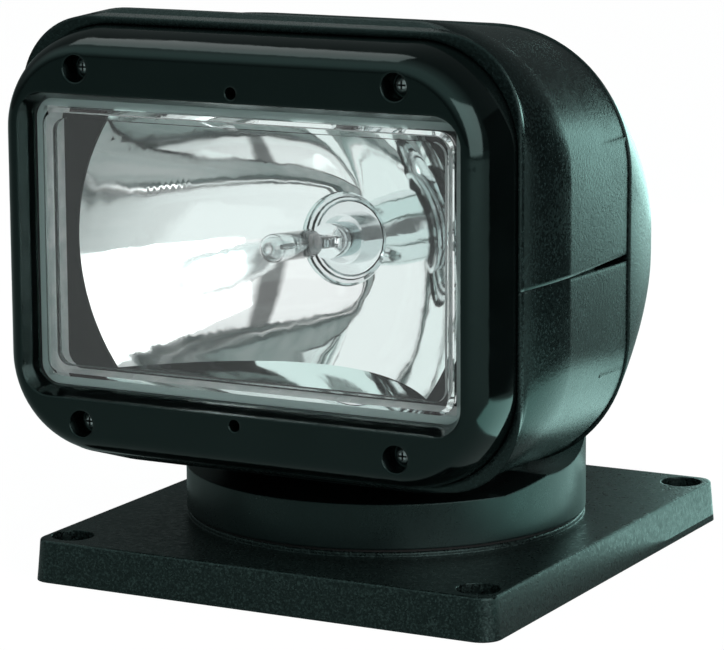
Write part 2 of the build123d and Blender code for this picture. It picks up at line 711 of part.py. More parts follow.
def trunnion_bushes():
    """Flanged bushes in both walls of both slot liners, with their collars inside the head."""
    rings = []
    for sx in (-1, 1):
        for wall_x, bore_x, out in ((liner_inner, slot_inner, -1), (liner_outer, slot_outer, 1)):
            face_x = wall_x + out * TILT_COLLAR_THICK
            ring = rod_x(TILT_BUSH_R, sx * bore_x, sx * face_x, AXIS_Y, AXIS_Z)
            ring += rod_x(TILT_COLLAR_R, sx * wall_x, sx * face_x, AXIS_Y, AXIS_Z)
            bore = rod_x(TRUNNION_R + RUNNING_GAP, sx * (bore_x - out), sx * (face_x + out), AXIS_Y, AXIS_Z)
            rings.append(ring - bore)
    return rings


def tilt_gear():
    """Toothed sector pinned to the right-hand trunnion; it stands still while the head tilts."""
    plate = side(tilt_gear_x0) * gear_plate(TILT_GEAR_TEETH, 90, TILT_GEAR_WIDTH, TILT_GEAR_SPAN)
    hub_end = tilt_gear_x1 + TILT_HUB_PAST
    gear = Pos(0, AXIS_Y, AXIS_Z) * plate + rod_x(TILT_HUB_R, tilt_gear_x0, hub_end, AXIS_Y, AXIS_Z)
    return gear - rod_x(TRUNNION_R + FIT_GAP, tilt_gear_x0 - 1, hub_end + 1, AXIS_Y, AXIS_Z)


def pan_screw_places():
    """Two under the gearbox's foot."""
    x = PAN_BOX_HALF_W - PAN_SCREW_INSET
    return [(sx * x, PAN_BOX_REAR_Y - PAN_FOOT_DEPTH / 2) for sx in (-1, 1)]


def pan_gearbox():
    """Worm gearbox over the pan pinion, standing on one foot at its rear."""
    half_w = PAN_BOX_HALF_W
    case = box(-half_w, half_w, PAN_BOX_FRONT_Y, PAN_BOX_REAR_Y, PAN_BOX_LOW_Z, PAN_BOX_HIGH_Z)
    case += box(-half_w, half_w, PAN_BOX_REAR_Y - PAN_FOOT_DEPTH, PAN_BOX_REAR_Y, disc_top, PAN_BOX_LOW_Z)
    case -= rod_z(PINION_SHAFT_R + RUNNING_GAP, 0, pan_mesh, PAN_BOX_LOW_Z - 1, pan_shaft_top + SHAFT_END_GAP)
    for x, y in pan_screw_places():
        hole_top = disc_top + PAN_SCREW_REACH + SCREW_TIP_ROOM
        case -= rod_z(SMALL_SCREW_R + TAPPED_GAP, x, y, disc_top - 1, hole_top)
    return case


def pan_screws():
    return [rod_z(SMALL_SCREW_R, x, y, disc_low, disc_top + PAN_SCREW_REACH) for x, y in pan_screw_places()]


def motor_can(radius, length):
    """Small motor lying along +X: drawn can, end bell and two terminals."""
    can_end = length - MOTOR_BELL
    can = rod_x(radius, 0, can_end, 0, 0)
    can = fillet(can.edges().group_by(Axis.X)[-1], MOTOR_EDGE_R)
    bell = rod_x(radius / 2, can_end - 1, length, 0, 0)
    tabs = []
    for sy in (-1, 1):
        y = sy * (radius - MOTOR_TAB_INSET)
        tabs.append(box(can_end - 1, length - 1, y - MOTOR_TAB_HALF_W, y + MOTOR_TAB_HALF_W,
                        -MOTOR_TAB_HALF_T, MOTOR_TAB_HALF_T))
    return fuse([can, bell] + tabs)


def pan_motor():
    return Pos(PAN_BOX_HALF_W, PAN_MOTOR_Y, PAN_MOTOR_Z) * motor_can(PAN_MOTOR_R, PAN_MOTOR_LENGTH)


def pan_pinion():
    """Pinion on the gearbox's output shaft, in mesh with the fixed pan gear."""
    first = -90 + 180 / PINION_TEETH
    teeth = gear_plate(PINION_TEETH, first, PAN_GEAR_WIDTH + PINION_OVERLAP)
    pinion = Pos(0, pan_mesh, pan_gear_low) * teeth
    return pinion + rod_z(PINION_SHAFT_R, 0, pan_mesh, pan_gear_low, pan_shaft_top)


def tilt_pinion():
    """Pinion on the tilt gearbox's output shaft, above the fixed sector."""
    first = -90 + 180 / PINION_TEETH
    teeth = gear_plate(PINION_TEETH, first, TILT_GEAR_WIDTH + PINION_OVERLAP)
    pinion = Pos(0, AXIS_Y, tilt_pinion_z) * (side(tilt_gear_x0) * teeth)
    return pinion + rod_x(PINION_SHAFT_R, tilt_shaft_x, tilt_gear_x0, AXIS_Y, tilt_pinion_z)


def tilt_gearbox():
    """Gearbox block with a blind bore for the pinion's shaft."""
    case = box(TILT_BOX_X0, TILT_BOX_X1, AXIS_Y - TILT_BOX_HALF_D, AXIS_Y + TILT_BOX_HALF_D,
               tilt_pinion_z - TILT_BOX_LOW, tilt_pinion_z + TILT_BOX_HIGH)
    case = fillet(case.edges().filter_by(Axis.X), TILT_BOX_EDGE_R)
    bore_x = tilt_shaft_x - SHAFT_END_GAP
    return case - rod_x(PINION_SHAFT_R + RUNNING_GAP, bore_x, TILT_BOX_X1 + 1, AXIS_Y, tilt_pinion_z)


def tilt_motor():
    motor = Rot(0, 180, 0) * motor_can(TILT_MOTOR_R, TILT_MOTOR_LENGTH)
    return Pos(TILT_BOX_X0, AXIS_Y, tilt_pinion_z + TILT_MOTOR_DZ) * motor


def tilt_bracket():
    """Web that hangs the tilt gearbox from the roof of the upper shell."""
    low = tilt_pinion_z + TILT_BOX_HIGH
    rear = SEAM_Y - SPIGOT_ROOT - BRACKET_GAP
    web = box(TILT_BOX_X0, TILT_BOX_X1, rear - BRACKET_DEPTH, rear, low, SEAM_HIGH_Z + 5)
    return web & shell_hollow(SHELL_WALL + FACE_GAP)


def shell_sections(inset, first_y, last_y):
    """Cross-sections of the head from the seam to the lip, shrunk by a wall thickness."""
    stations = [
        (SEAM_Y, HEAD_HALF_W, SEAM_LOW_Z, SEAM_HIGH_Z, SEAM_CORNER_R),
        (CREASE_Y, HEAD_HALF_W, CREASE_LOW_Z, CREASE_HIGH_Z, CREASE_CORNER_R),
        (SHOULDER_Y, HEAD_HALF_W - SHOULDER_INSET, SHOULDER_LOW_Z, SHOULDER_HIGH_Z, SHOULDER_CORNER_R),
        (LIP_Y, BEZEL_HALF_W + LIP_SIDE, lip_low_z, lip_high_z, LIP_CORNER_R),
    ]
    outlines = []
    for y, half_w, low, high, corner in stations:
        if not last_y <= y <= first_y:
            continue
        outline = RectangleRounded(2 * (half_w - inset), high - low - 2 * inset, corner - inset)
        outlines.append(facing(y, (low + high) / 2) * outline)
    return outlines


def shell_hollow(inset):
    """Space inside the front shells, from behind the front flange to just past the seam."""
    tapered = loft(shell_sections(inset, SEAM_Y, SHOULDER_Y), ruled=True)
    tapered -= box(-HEAD_HALF_W, HEAD_HALF_W, BEZEL_FRONT_Y, flange_back_y, 0, 2 * AXIS_Z)
    tail = slab(HEAD_HALF_W - inset, seam_half_h - inset, SEAM_CORNER_R - inset,
                SEAM_Y + HOLLOW_PAST, SEAM_Y, seam_mid_z)
    return tapered + tail


def slot_prism(sx, extra, x_extra):
    """Space swept by one arm as the head tilts, seen from the head, with its clearance."""
    clear = ARM_HALF_WIDTH + SLOT_CLEAR + extra
    front = radians(-TILT_DOWN)
    rear = radians(TILT_UP)
    corners = [
        (-clear * cos(front), -clear * sin(front)),
        (-clear * cos(front) + SLOT_REACH * sin(front), -clear * sin(front) - SLOT_REACH * cos(front)),
        (SLOT_REACH / 2, -SLOT_REACH * 1.2),
        (clear * cos(rear) + SLOT_REACH * sin(rear), clear * sin(rear) - SLOT_REACH * cos(rear)),
        (clear * cos(rear), clear * sin(rear)),
    ]
    face = make_face(Polyline(*corners, close=True)) + Circle(clear)
    x0, x1 = slot_inner - x_extra, slot_outer + x_extra
    start = x0 if sx > 0 else -x1
    return Pos(0, AXIS_Y, AXIS_Z) * extrude(side(start) * face, x1 - x0)


def spigot():
    """Ring inside the rear edge of the front shells that the rear cover slips over."""
    outset = SHELL_WALL + SHELL_FIT
    corner = SEAM_CORNER_R + SPIGOT_EXTRA_R
    bore = outset + TONGUE_THICK
    root = SHELL_WALL - SPIGOT_ROOT_LAP
    ring = slab(HEAD_HALF_W - root, seam_half_h - root, SPIGOT_ROOT_R, SEAM_Y, SEAM_Y - SPIGOT_ROOT,
                seam_mid_z)
    ring += slab(HEAD_HALF_W - outset, seam_half_h - outset, corner, SEAM_Y + TONGUE_REACH, SEAM_Y - 1,
                 seam_mid_z)
    ring -= slab(HEAD_HALF_W - bore, seam_half_h - bore, corner - TONGUE_THICK, SEAM_Y + TONGUE_REACH + 1,
                 SEAM_Y - SPIGOT_ROOT - 1, seam_mid_z)
    for sx in (-1, 1):
        ring -= slot_prism(sx, LINER_WALL + SHELL_FIT, LINER_WALL + SHELL_FIT)
    return ring


def front_shell():
    """Both front halves in one, with front flange, screw posts, rear lugs and rear spigot."""
    body = loft(shell_sections(0, SEAM_Y, LIP_Y), ruled=True) - shell_hollow(SHELL_WALL)
    body -= slab(BEZEL_HALF_W + BEZEL_FIT, BEZEL_HALF_H + BEZEL_FIT, BEZEL_CORNER_R + BEZEL_FIT,
                 gasket_y, LIP_Y - 1)
    body -= slab(FLANGE_OPEN_HALF_W, FLANGE_OPEN_HALF_H, FLANGE_OPEN_R, flange_back_y + 1, gasket_y - 1)
    body += spigot()
    post_end = flange_back_y + BEZEL_POST_LENGTH
    for x, z in bezel_screw_places():
        body += rod_y(BEZEL_POST_R, x, flange_back_y - 1, post_end, z)
        body -= rod_y(BEZEL_SCREW_R + TAPPED_GAP, x, gasket_y - 1, post_end - SCREW_TIP_ROOM, z)
    for x, z in clamp_screw_places():
        body -= rod_y(CLAMP_SCREW_R + TAPPED_GAP, x, gasket_y - 1, flange_back_y + 1, z)
    for x, z in cover_post_places():
        x0, x1 = sorted((x - copysign(LUG_HALF_H, x), copysign(HEAD_HALF_W - LUG_LAP, x)))
        body += box(x0, x1, SEAM_Y - LUG_DEPTH, SEAM_Y, z - LUG_HALF_H, z + LUG_HALF_H)
        body -= rod_y(COVER_SCREW_R + TAPPED_GAP, x, SEAM_Y - LUG_HOLE_DEPTH, SEAM_Y + 1, z)
    for sx in (-1, 1):
        body -= slot_prism(sx, 0, 0)
    return body


def bezel_screw_places():
    """Two over and two under the window."""
    return [(sx * BEZEL_SCREW_X, BEZEL_Z + sz * BEZEL_SCREW_DZ) for sx, sz in signs()]


def above_split(low_rise, high_rise):
    """Everything over the line that parts the two shells, which tapers open towards the rear."""
    front, rear, top = BEZEL_FRONT_Y, -SEAM_Y, 2 * SEAM_HIGH_Z
    low, high = SPLIT_Z + low_rise, SPLIT_Z + high_rise
    outline = Polyline((front, low), (SPLIT_START_Y, low), (SEAM_Y, high), (rear, high), (rear, top),
                       (front, top), close=True)
    return extrude(side(-CUT_HALF_W) * make_face(outline), 2 * CUT_HALF_W)


def upper_shell(whole):
    return whole & above_split(HAIRLINE / 2, SPLIT_RISE)


def lower_shell(whole):
    """Lower half; a tongue closes the side joint from behind, and its rear corner is relieved."""
    body = whole - above_split(-HAIRLINE / 2, -SPLIT_DROP)
    for sx in (-1, 1):
        x0, x1 = sorted((sx * blade_x, sx * (blade_x - TONGUE_THICK)))
        root_x0, root_x1 = sorted((sx * (blade_x + 1), sx * (blade_x - TONGUE_THICK)))
        body += box(x0, x1, CREASE_Y + 1, blade_rear_y, SPLIT_Z - TONGUE_LOW, SPLIT_Z + TONGUE_HIGH)
        body += box(root_x0, root_x1, CREASE_Y + 1, blade_rear_y, SPLIT_Z - TONGUE_LOW,
                    SPLIT_Z - TONGUE_LOW + TONGUE_FOOT)
    wedge = Polyline((SEAM_Y + HAIRLINE, RELIEF_TOP_Z), (SEAM_Y - RELIEF_DEPTH, RELIEF_DEEP_Z),
                     (SEAM_Y - RELIEF_FOOT_DEPTH, RELIEF_FOOT_Z), (SEAM_Y + HAIRLINE, RELIEF_LOW_Z),
                     close=True)
    cut = extrude(side(-CUT_HALF_W) * make_face(wedge), 2 * CUT_HALF_W)
    keep = SHELL_WALL - RELIEF_CORE
    cut -= slab(HEAD_HALF_W - keep, seam_half_h - keep, SEAM_CORNER_R - SHELL_WALL, SEAM_Y + 1,
                SEAM_Y - RELIEF_DEPTH - 1, seam_mid_z)
    cut -= box(-RELIEF_HALF_W, RELIEF_HALF_W, SEAM_Y - LUG_DEPTH, 0, 0, RELIEF_TOP_Z)
    return body - cut


def dome(inset, front_y):
    """Rounded rear of the head, almost a circle about the tilt axis when seen from the side."""
    outlines = []
    sweep = HEAD_HALF_W - DOME_FLAT_HALF_W
    for angle in DOME_ANGLES:
        t = radians(angle)
        half_w = DOME_FLAT_HALF_W + DOME_PROUD + (sweep - inset) * cos(t)
        half_h = (seam_half_h + DOME_PROUD - inset) * cos(t)
        fade = max(0, 1 - sin(t) / DOME_ROUND_RATIO) ** 2
        corner = half_h * (DOME_CORNER_RATIO - fade * (DOME_CORNER_RATIO - SEAM_CORNER_R / seam_half_h))
        y = front_y if angle == 0 else SEAM_Y + (DOME_DEPTH - inset) * sin(t)
        outlines.append(facing(y, seam_mid_z) * RectangleRounded(2 * half_w, 2 * half_h, corner))
    return loft(outlines)


def cover_post_places():
    """Four posts beside the arms, two over and two under the tilt axis."""
    return [(sx * COVER_POST_X, AXIS_Z + sz * COVER_POST_DZ) for sx, sz in signs()]


def rear_cover():
    """Rear shell with four sunk screw posts and two slots for the arms."""
    outer = dome(0, SEAM_Y + DOME_GAP)
    body = outer - dome(SHELL_WALL, SEAM_Y)
    for x, z in cover_post_places():
        seat = rod_y(COVER_POST_R, x, SEAM_Y, SEAM_Y + 1, z)
        body += seat + (rod_y(COVER_POST_R, x, SEAM_Y, COVER_POST_END_Y, z) & outer)
        body -= rod_y(COVER_SINK_R, x, COVER_HEAD_Y, COVER_CUT_END_Y, z)
        body -= rod_y(COVER_SCREW_R + SCREW_SLACK, x, SEAM_Y - 1, COVER_HEAD_Y + 1, z)
    above = 2 * AXIS_Z
    edge = Polyline((SEAM_Y - 1, COVER_EDGE_Z), (SEAM_Y + DOME_GAP, COVER_EDGE_Z),
                    (SEAM_Y + DOME_TOP_GAP, above), (SEAM_Y - 1, above), close=True)
    inset = 2 * SHELL_WALL + COVER_EDGE_INSET
    inside = slab(HEAD_HALF_W - inset, seam_half_h - inset, SEAM_CORNER_R - 2 * inset, 0, SEAM_Y - 2,
                  seam_mid_z)
    body -= extrude(side(-CUT_HALF_W) * make_face(edge), 2 * CUT_HALF_W) - inside
    for sx in (-1, 1):
        body -= slot_prism(sx, 0, 0)
    return body


def rear_cover_screws():
    tip = SEAM_Y - LUG_HOLE_DEPTH + SCREW_TIP_ROOM
    head_end = COVER_HEAD_Y + COVER_HEAD_THICK
    return [rod_y(COVER_SCREW_R, x, tip, COVER_HEAD_Y, z) + rod_y(COVER_HEAD_R, x, COVER_HEAD_Y, head_end, z)
            for x, z in cover_post_places()]


def slot_liner(sx):
    """Wall that seals the inside of the head from the slot that one arm moves in."""
    inset = SHELL_WALL + LINER_GAP
    liner = slot_prism(sx, LINER_WALL, LINER_WALL) & (shell_hollow(inset) + dome(inset, SEAM_Y))
    liner -= slot_prism(sx, 0, 0)
    bore = rod_x(TILT_BUSH_R + FIT_GAP, sx * (liner_inner - 1), sx * (liner_outer + 1), AXIS_Y, AXIS_Z)
    return liner - bore


def bezel():
    """Glossy front frame with a rounded rim, flared window, sunk screws and two drain holes."""
    outlines = [facing(BEZEL_REAR_Y, BEZEL_Z) * bezel_outline(0)]
    for angle in BEZEL_ANGLES:
        t = radians(angle)
        y = BEZEL_ROUND_Y + (BEZEL_FRONT_Y - BEZEL_ROUND_Y) * sin(t)
        outlines.append(facing(y, BEZEL_Z) * bezel_outline(BEZEL_ROUND_IN * (1 - cos(t))))
    body = loft(outlines[:2], ruled=True) + loft(outlines[1:])
    ledge_y = LENS_LEDGE_Y
    wall = slab(lens_half_w + POCKET_WALL, lens_half_h + POCKET_WALL, POCKET_CORNER_R, bezel_stop_y,
                BEZEL_FRONT_Y + 1)
    posts = fuse([rod_y(BEZEL_BOSS_R, x, bezel_stop_y, ledge_y, z) for x, z in bezel_screw_places()])
    inner = bezel_outline(BEZEL_WALL)
    groove_depth = BEZEL_REAR_Y + 1 - ledge_y - BEZEL_INNER_LEDGE
    groove = extrude(facing(BEZEL_REAR_Y + 1, BEZEL_Z) * inner, groove_depth)
    body -= groove - wall - posts
    body += (wall + posts) & extrude(facing(bezel_stop_y, BEZEL_Z) * inner, bezel_stop_y - ledge_y)
    body -= slab(lens_half_w + UNIT_GAP, lens_half_h + UNIT_GAP, UNIT_CORNER_R + UNIT_GAP, BEZEL_REAR_Y + 1,
                 ledge_y)
    narrow = RectangleRounded(2 * WINDOW_HALF_W, 2 * WINDOW_HALF_H, WINDOW_CORNER_R)
    wide = RectangleRounded(2 * (WINDOW_HALF_W + WINDOW_FLARE), 2 * (WINDOW_HALF_H + WINDOW_FLARE),
                            WINDOW_CORNER_R + WINDOW_FLARE)
    ends = [facing(ledge_y + WINDOW_PAST, BEZEL_Z) * narrow,
            facing(BEZEL_FRONT_Y - WINDOW_PAST, BEZEL_Z) * wide]
    body -= loft(ends, ruled=True)
    for x, z in bezel_screw_places():
        body -= rod_y(BEZEL_SINK_R, x, screw_seat_y, BEZEL_FRONT_Y - 1, z)
        body -= rod_y(BEZEL_SCREW_R + SCREW_SLACK, x, BEZEL_REAR_Y + 1, BEZEL_FRONT_Y, z)
    for sz in (-1, 1):
        body -= rod_y(DRAIN_R, 0, BEZEL_FRONT_Y + DRAIN_DEPTH, BEZEL_FRONT_Y - 1, BEZEL_Z + sz * DRAIN_DZ)
    return body


def bezel_outline(inset):
    """Outline of the bezel, drawn in by an inset."""
    return RectangleRounded(2 * (BEZEL_HALF_W - inset), 2 * (BEZEL_HALF_H - inset), BEZEL_CORNER_R - inset)


def bezel_gasket():
    """Flat ring between the bezel's wall and the shells' flange."""
    ring = bezel_outline(GASKET_INSET) - bezel_outline(BEZEL_WALL - GASKET_INSET)
    return extrude(facing(gasket_y, BEZEL_Z) * ring, gasket_y - BEZEL_REAR_Y)


def bezel_screws():
    """Cross-recessed pan-head screws that clamp bezel, lamp unit and shells together."""
    screws = []
    top_y = BEZEL_SCREW_TOP_Y
    for x, z in bezel_screw_places():
        head = rod_y(BEZEL_SCREW_HEAD_R, x, top_y, screw_seat_y, z)
        head = fillet(head.edges().group_by(Axis.Y)[0], BEZEL_HEAD_EDGE_R)
        for half_x, half_z in ((CROSS_HALF_L, CROSS_HALF_W), (CROSS_HALF_W, CROSS_HALF_L)):
            head -= box(x - half_x, x + half_x, top_y - 1, top_y + CROSS_DEPTH, z - half_z, z + half_z)
        screws.append(head + rod_y(BEZEL_SCREW_R, x, screw_seat_y, flange_back_y + BEZEL_SCREW_LENGTH, z))
    return screws


def lens_gasket():
    """Flat ring between the lens and the bezel's ledge."""
    outer = slab(lens_half_w, lens_half_h, UNIT_CORNER_R, lens_front_y, LENS_LEDGE_Y)
    return outer - slab(WINDOW_HALF_W + GASKET_INSET, WINDOW_HALF_H + GASKET_INSET, WINDOW_CORNER_R,
                        lens_front_y + 1, LENS_LEDGE_Y - 1)


def lens():
    """Clear pressed glass: flange, bevelled step and raised flat pane."""
    flange = slab(lens_half_w, lens_half_h, UNIT_CORNER_R, lens_back_y, lens_front_y)
    pane_w, pane_h = WINDOW_HALF_W - LENS_PANE_INSET, WINDOW_HALF_H - LENS_PANE_INSET
    step = slab(pane_w, pane_h, WINDOW_CORNER_R - 1, lens_front_y, lens_front_y - LENS_RAISE)
    step = chamfer(step.faces().sort_by(Axis.Y)[0].edges(), LENS_CHAMFER)
    back = slab(pane_w - LENS_PANE_STEP, pane_h - LENS_PANE_STEP, WINDOW_CORNER_R - 2, lens_back_y + 1,
                lens_front_y + LENS_WEB)
    return flange + step - back


def mirror_form(grow, y_front):
    """Paraboloid of revolution cut flat at top and bottom, as a filled bowl."""
    vertex = MIRROR_APEX_Y + grow
    depth = MIRROR_REACH ** 2 / (4 * MIRROR_FOCUS)
    curve = Bezier((0, vertex), (MIRROR_REACH / 2, vertex), (MIRROR_REACH, vertex - depth))
    rim = Polyline((MIRROR_REACH, vertex - depth), (0, vertex - depth), (0, vertex))
    bowl = Pos(0, 0, MIRROR_AXIS_Z) * revolve(Plane.XY * make_face([curve, rim]), Axis.Y)
    half = MIRROR_HALF_H + grow
    return bowl & box(-HEAD_HALF_W, HEAD_HALF_W, y_front, -SEAM_Y, BEZEL_Z - half, BEZEL_Z + half)


def reflector():
    """Bright parabolic bowl with flat top and bottom and a short neck for the bulb."""
    bowl = mirror_form(MIRROR_WALL, mirror_rim_y)
    lip = slab(lens_half_w, lens_half_h, UNIT_CORNER_R, mirror_rim_y + MIRROR_LIP, mirror_rim_y)
    neck = rod_y(HOLDER_FLANGE_R, 0, MIRROR_NECK_Y, MIRROR_APEX_Y - MIRROR_NECK_LAP, BULB_AXIS_Z)
    bore = rod_y(MIRROR_NECK_R, 0, MIRROR_NECK_Y + 1, MIRROR_APEX_Y - 3 * MIRROR_NECK_LAP, BULB_AXIS_Z)
    return bowl + lip + aimed(neck) - mirror_form(0, mirror_rim_y - 1) - aimed(bore)


def lens_rim():
    """Bright tapered frame between the lens and the reflector."""
    block = slab(lens_half_w, lens_half_h, UNIT_CORNER_R, mask_y, rim_y)
    half_w, half_h = lens_half_w - RIM_WALL_W, lens_half_h - RIM_WALL_H
    wide = RectangleRounded(2 * half_w, 2 * half_h, WINDOW_CORNER_R - 1)
    narrow = RectangleRounded(2 * (half_w - RIM_TAPER_W), 2 * (half_h - RIM_TAPER_H), WINDOW_CORNER_R - 1)
    ends = [facing(rim_y - FIT_GAP, BEZEL_Z) * wide, facing(mask_y + FIT_GAP, BEZEL_Z) * narrow]
    return block - loft(ends, ruled=True)


def reflector_mask():
    """Thin black plate that hides the corners round the bowl."""
    plate = slab(lens_half_w, lens_half_h, UNIT_CORNER_R, mirror_rim_y, mask_y)
    rim_r = sqrt(4 * MIRROR_FOCUS * (MIRROR_APEX_Y - mirror_rim_y)) + MASK_GAP
    window = rod_y(rim_r, 0, mirror_rim_y + 1, mask_y - 1, MIRROR_AXIS_Z)
    half = MIRROR_HALF_H + MASK_GAP
    middle = box(-rim_r, rim_r, mask_y - 1, mirror_rim_y + 1, BEZEL_Z - half, BEZEL_Z + half)
    return plate - (window & middle)


def lamp_clamp():
    """Steel frame that presses the lamp unit forward into the bezel."""
    plate = slab(CLAMP_HALF_W, CLAMP_HALF_H, UNIT_CORNER_R, clamp_back_y, clamp_y)
    plate -= slab(lens_half_w - CLAMP_LAP_W, lens_half_h - CLAMP_LAP_H, WINDOW_CORNER_R, clamp_back_y + 1,
                  clamp_y - 1)
    for x, z in clamp_screw_places():
        plate -= rod_y(CLAMP_SCREW_R + SCREW_SLACK, x, clamp_back_y + 1, clamp_y - 1, z)
    return plate


def clamp_screw_places():
    return [(sx * CLAMP_SCREW_X, BEZEL_Z + sz * CLAMP_SCREW_DZ) for sx, sz in signs()]


def clamp_screws():
    head_y = clamp_back_y + CLAMP_SCREW_HEAD
    tip = gasket_y + FIT_GAP
    return [rod_y(CLAMP_SCREW_R, x, clamp_back_y, tip, z)
            + rod_y(CLAMP_SCREW_HEAD_R, x, clamp_back_y, head_y, z) for x, z in clamp_screw_places()]


def aimed(shape):
    """Tilt a lamp part upwards about the middle of the reflector's neck."""
    pivot = Pos(0, BULB_PIVOT_Y, BULB_AXIS_Z)
    return pivot * Rot(-BULB_RISE, 0, 0) * pivot.inverse() * shape


def bulb_capsule():
    """Halogen capsule: round tip, straight tube and flattened pinch."""
    z = BULB_AXIS_Z
    tip = Pos(0, BULB_TIP_Y + BULB_R, z) * Sphere(BULB_R)
    tube = rod_y(BULB_R, 0, BULB_TIP_Y + BULB_R, BULB_PINCH_Y, z)
    pinch = box(-PINCH_HALF_W, PINCH_HALF_W, BULB_PINCH_Y - 1, BULB_BASE_FRONT_Y + PINCH_DEPTH,
                z - PINCH_HALF_H, z + PINCH_HALF_H)
    return aimed(tip + tube + pinch)


def bulb_base():
    """Stepped metal base with a locating disc that sits on the holder."""
    z = BULB_AXIS_Z
    collar = rod_y(BULB_BASE_R, 0, BULB_BASE_FRONT_Y, MIRROR_NECK_Y + 1, z)
    cup = rod_y(BULB_CUP_R, 0, BULB_CUP_FRONT_Y, MIRROR_NECK_Y, z)
    cup -= rod_y(BULB_CUP_R - BULB_CUP_WALL, 0, BULB_CUP_FRONT_Y - 1, BULB_CUP_FRONT_Y + BULB_CUP_DEPTH, z)
    disc = rod_y(BULB_DISC_R, 0, MIRROR_NECK_Y - BULB_DISC_THICK, MIRROR_NECK_Y, z)
    slack = FACE_GAP
    socket = box(-PINCH_HALF_W - slack, PINCH_HALF_W + slack, BULB_BASE_FRONT_Y - 1,
                 BULB_BASE_FRONT_Y + PINCH_DEPTH + slack, z - PINCH_HALF_H - slack, z + PINCH_HALF_H + slack)
    return aimed(collar + cup + disc - socket)


def bulb_holder():
    """Insulating holder that closes the reflector's neck from behind."""
    z = BULB_AXIS_Z
    back_y = MIRROR_NECK_Y + HOLDER_FLANGE_THICK
    flange = rod_y(HOLDER_FLANGE_R - HOLDER_EDGE_GAP, 0, MIRROR_NECK_Y, back_y, z)
    body = rod_y(HOLDER_BODY_R, 0, back_y, HOLDER_REAR_Y, z)
    bore = rod_y(BULB_BASE_R + FACE_GAP, 0, MIRROR_NECK_Y - 1, MIRROR_NECK_Y + HOLDER_BORE_DEPTH, z)
    return aimed(flange + body - bore)


def bulb_clip():
    """Spring wires across the holder's flange."""
    y = MIRROR_NECK_Y + HOLDER_FLANGE_THICK + CLIP_WIRE_R
    wires = []
    for sz in (-1, 1):
        z = BULB_AXIS_Z + sz * CLIP_SPREAD
        wires.append(aimed(box(-CLIP_HALF_L, CLIP_HALF_L, y - CLIP_WIRE_R, y + CLIP_WIRE_R,
                               z - CLIP_WIRE_R, z + CLIP_WIRE_R)))
    return wires


def write(name, shape):
    """Write one named piece; a list becomes a group of separate solids."""
    if isinstance(shape, list):
        solids = [solid for item in shape for solid in item.solids()]
        shape = Compound(children=solids)
    elif len(shape.solids()) == 1:
        shape = shape.solids()[0]
    export_step(shape, os.path.join("parts", name + ".step"))


def main():
    os.makedirs("parts", exist_ok=True)
    whole = front_shell()
    pieces = {
        "base_plate": base_plate(),
        "base_cover": base_cover(),
        "cover_screws": cover_screws(),
        "pan_spindle": pan_spindle(),
        "spindle_screws": spindle_screws(),
        "thrust_washer": thrust_washer(),
        "neck_seal": neck_seal(),
        "pan_gear": pan_gear(),
        "spindle_nut": spindle_nut(),
        "turntable_disc": turntable_disc(),
        "pan_bush": pan_bush(),
        "neck_shell": neck_shell(),
        "neck_screws": neck_screws(),
        "yoke_arm_left": yoke_arm(-1),
        "yoke_arm_right": yoke_arm(1),
        "yoke_screws": yoke_screws(),
        "trunnion_left": trunnion(-1),
        "trunnion_right": trunnion(1),
        "tilt_gear": tilt_gear(),
        "pan_gearbox": pan_gearbox(),
        "pan_motor": pan_motor(),
        "pan_screws": pan_screws(),
        "pan_pinion": pan_pinion(),
        "upper_shell": upper_shell(whole),
        "lower_shell": lower_shell(whole),
        "rear_cover": rear_cover(),
        "rear_cover_screws": rear_cover_screws(),
        "slot_liner_left": slot_liner(-1),
        "slot_liner_right": slot_liner(1),
        "trunnion_bushes": trunnion_bushes(),
        "bezel": bezel(),
        "bezel_gasket": bezel_gasket(),
        "bezel_screws": bezel_screws(),
        "lens": lens(),
        "lens_gasket": lens_gasket(),
        "lens_rim": lens_rim(),
        "reflector_mask": reflector_mask(),
        "reflector": reflector(),
        "lamp_clamp": lamp_clamp(),
        "clamp_screws": clamp_screws(),
        "bulb_capsule": bulb_capsule(),
        "bulb_base": bulb_base(),
        "bulb_holder": bulb_holder(),
        "bulb_clip": bulb_clip(),
        "tilt_gearbox": tilt_gearbox(),
        "tilt_motor": tilt_motor(),
        "tilt_bracket": tilt_bracket(),
        "tilt_pinion": tilt_pinion(),
    }
    for name, shape in pieces.items():
        write(name, shape)
    print(len(pieces), "pieces written")


main()
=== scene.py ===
# %% [markdown]
# A rotating spotlight in a white studio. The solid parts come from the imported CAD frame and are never
# moved or reshaped here. They get their finishes, a few small pieces are added, and the bulb's solid
# glass is replaced by a hollow one. The frame is loaded first, because later cells ask it for parts.

# %%
# Load the frame
import math
import bmesh
import bpy
from mathutils import Matrix, Vector


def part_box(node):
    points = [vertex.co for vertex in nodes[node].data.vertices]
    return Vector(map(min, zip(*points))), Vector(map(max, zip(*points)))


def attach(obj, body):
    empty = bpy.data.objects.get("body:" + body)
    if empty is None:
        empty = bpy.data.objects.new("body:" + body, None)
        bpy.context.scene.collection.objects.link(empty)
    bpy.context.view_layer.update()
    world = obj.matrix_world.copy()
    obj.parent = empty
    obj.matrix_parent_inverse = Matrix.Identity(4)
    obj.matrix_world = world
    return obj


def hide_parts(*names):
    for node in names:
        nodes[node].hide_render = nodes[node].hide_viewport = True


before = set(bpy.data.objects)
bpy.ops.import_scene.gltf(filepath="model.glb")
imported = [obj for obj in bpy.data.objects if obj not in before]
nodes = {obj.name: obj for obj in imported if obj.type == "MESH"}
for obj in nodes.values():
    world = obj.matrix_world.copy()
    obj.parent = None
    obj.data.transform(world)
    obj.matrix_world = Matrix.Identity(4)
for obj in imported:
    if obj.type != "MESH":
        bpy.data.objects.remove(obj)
scene = bpy.context.scene


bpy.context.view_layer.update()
print("nodes", len(nodes))

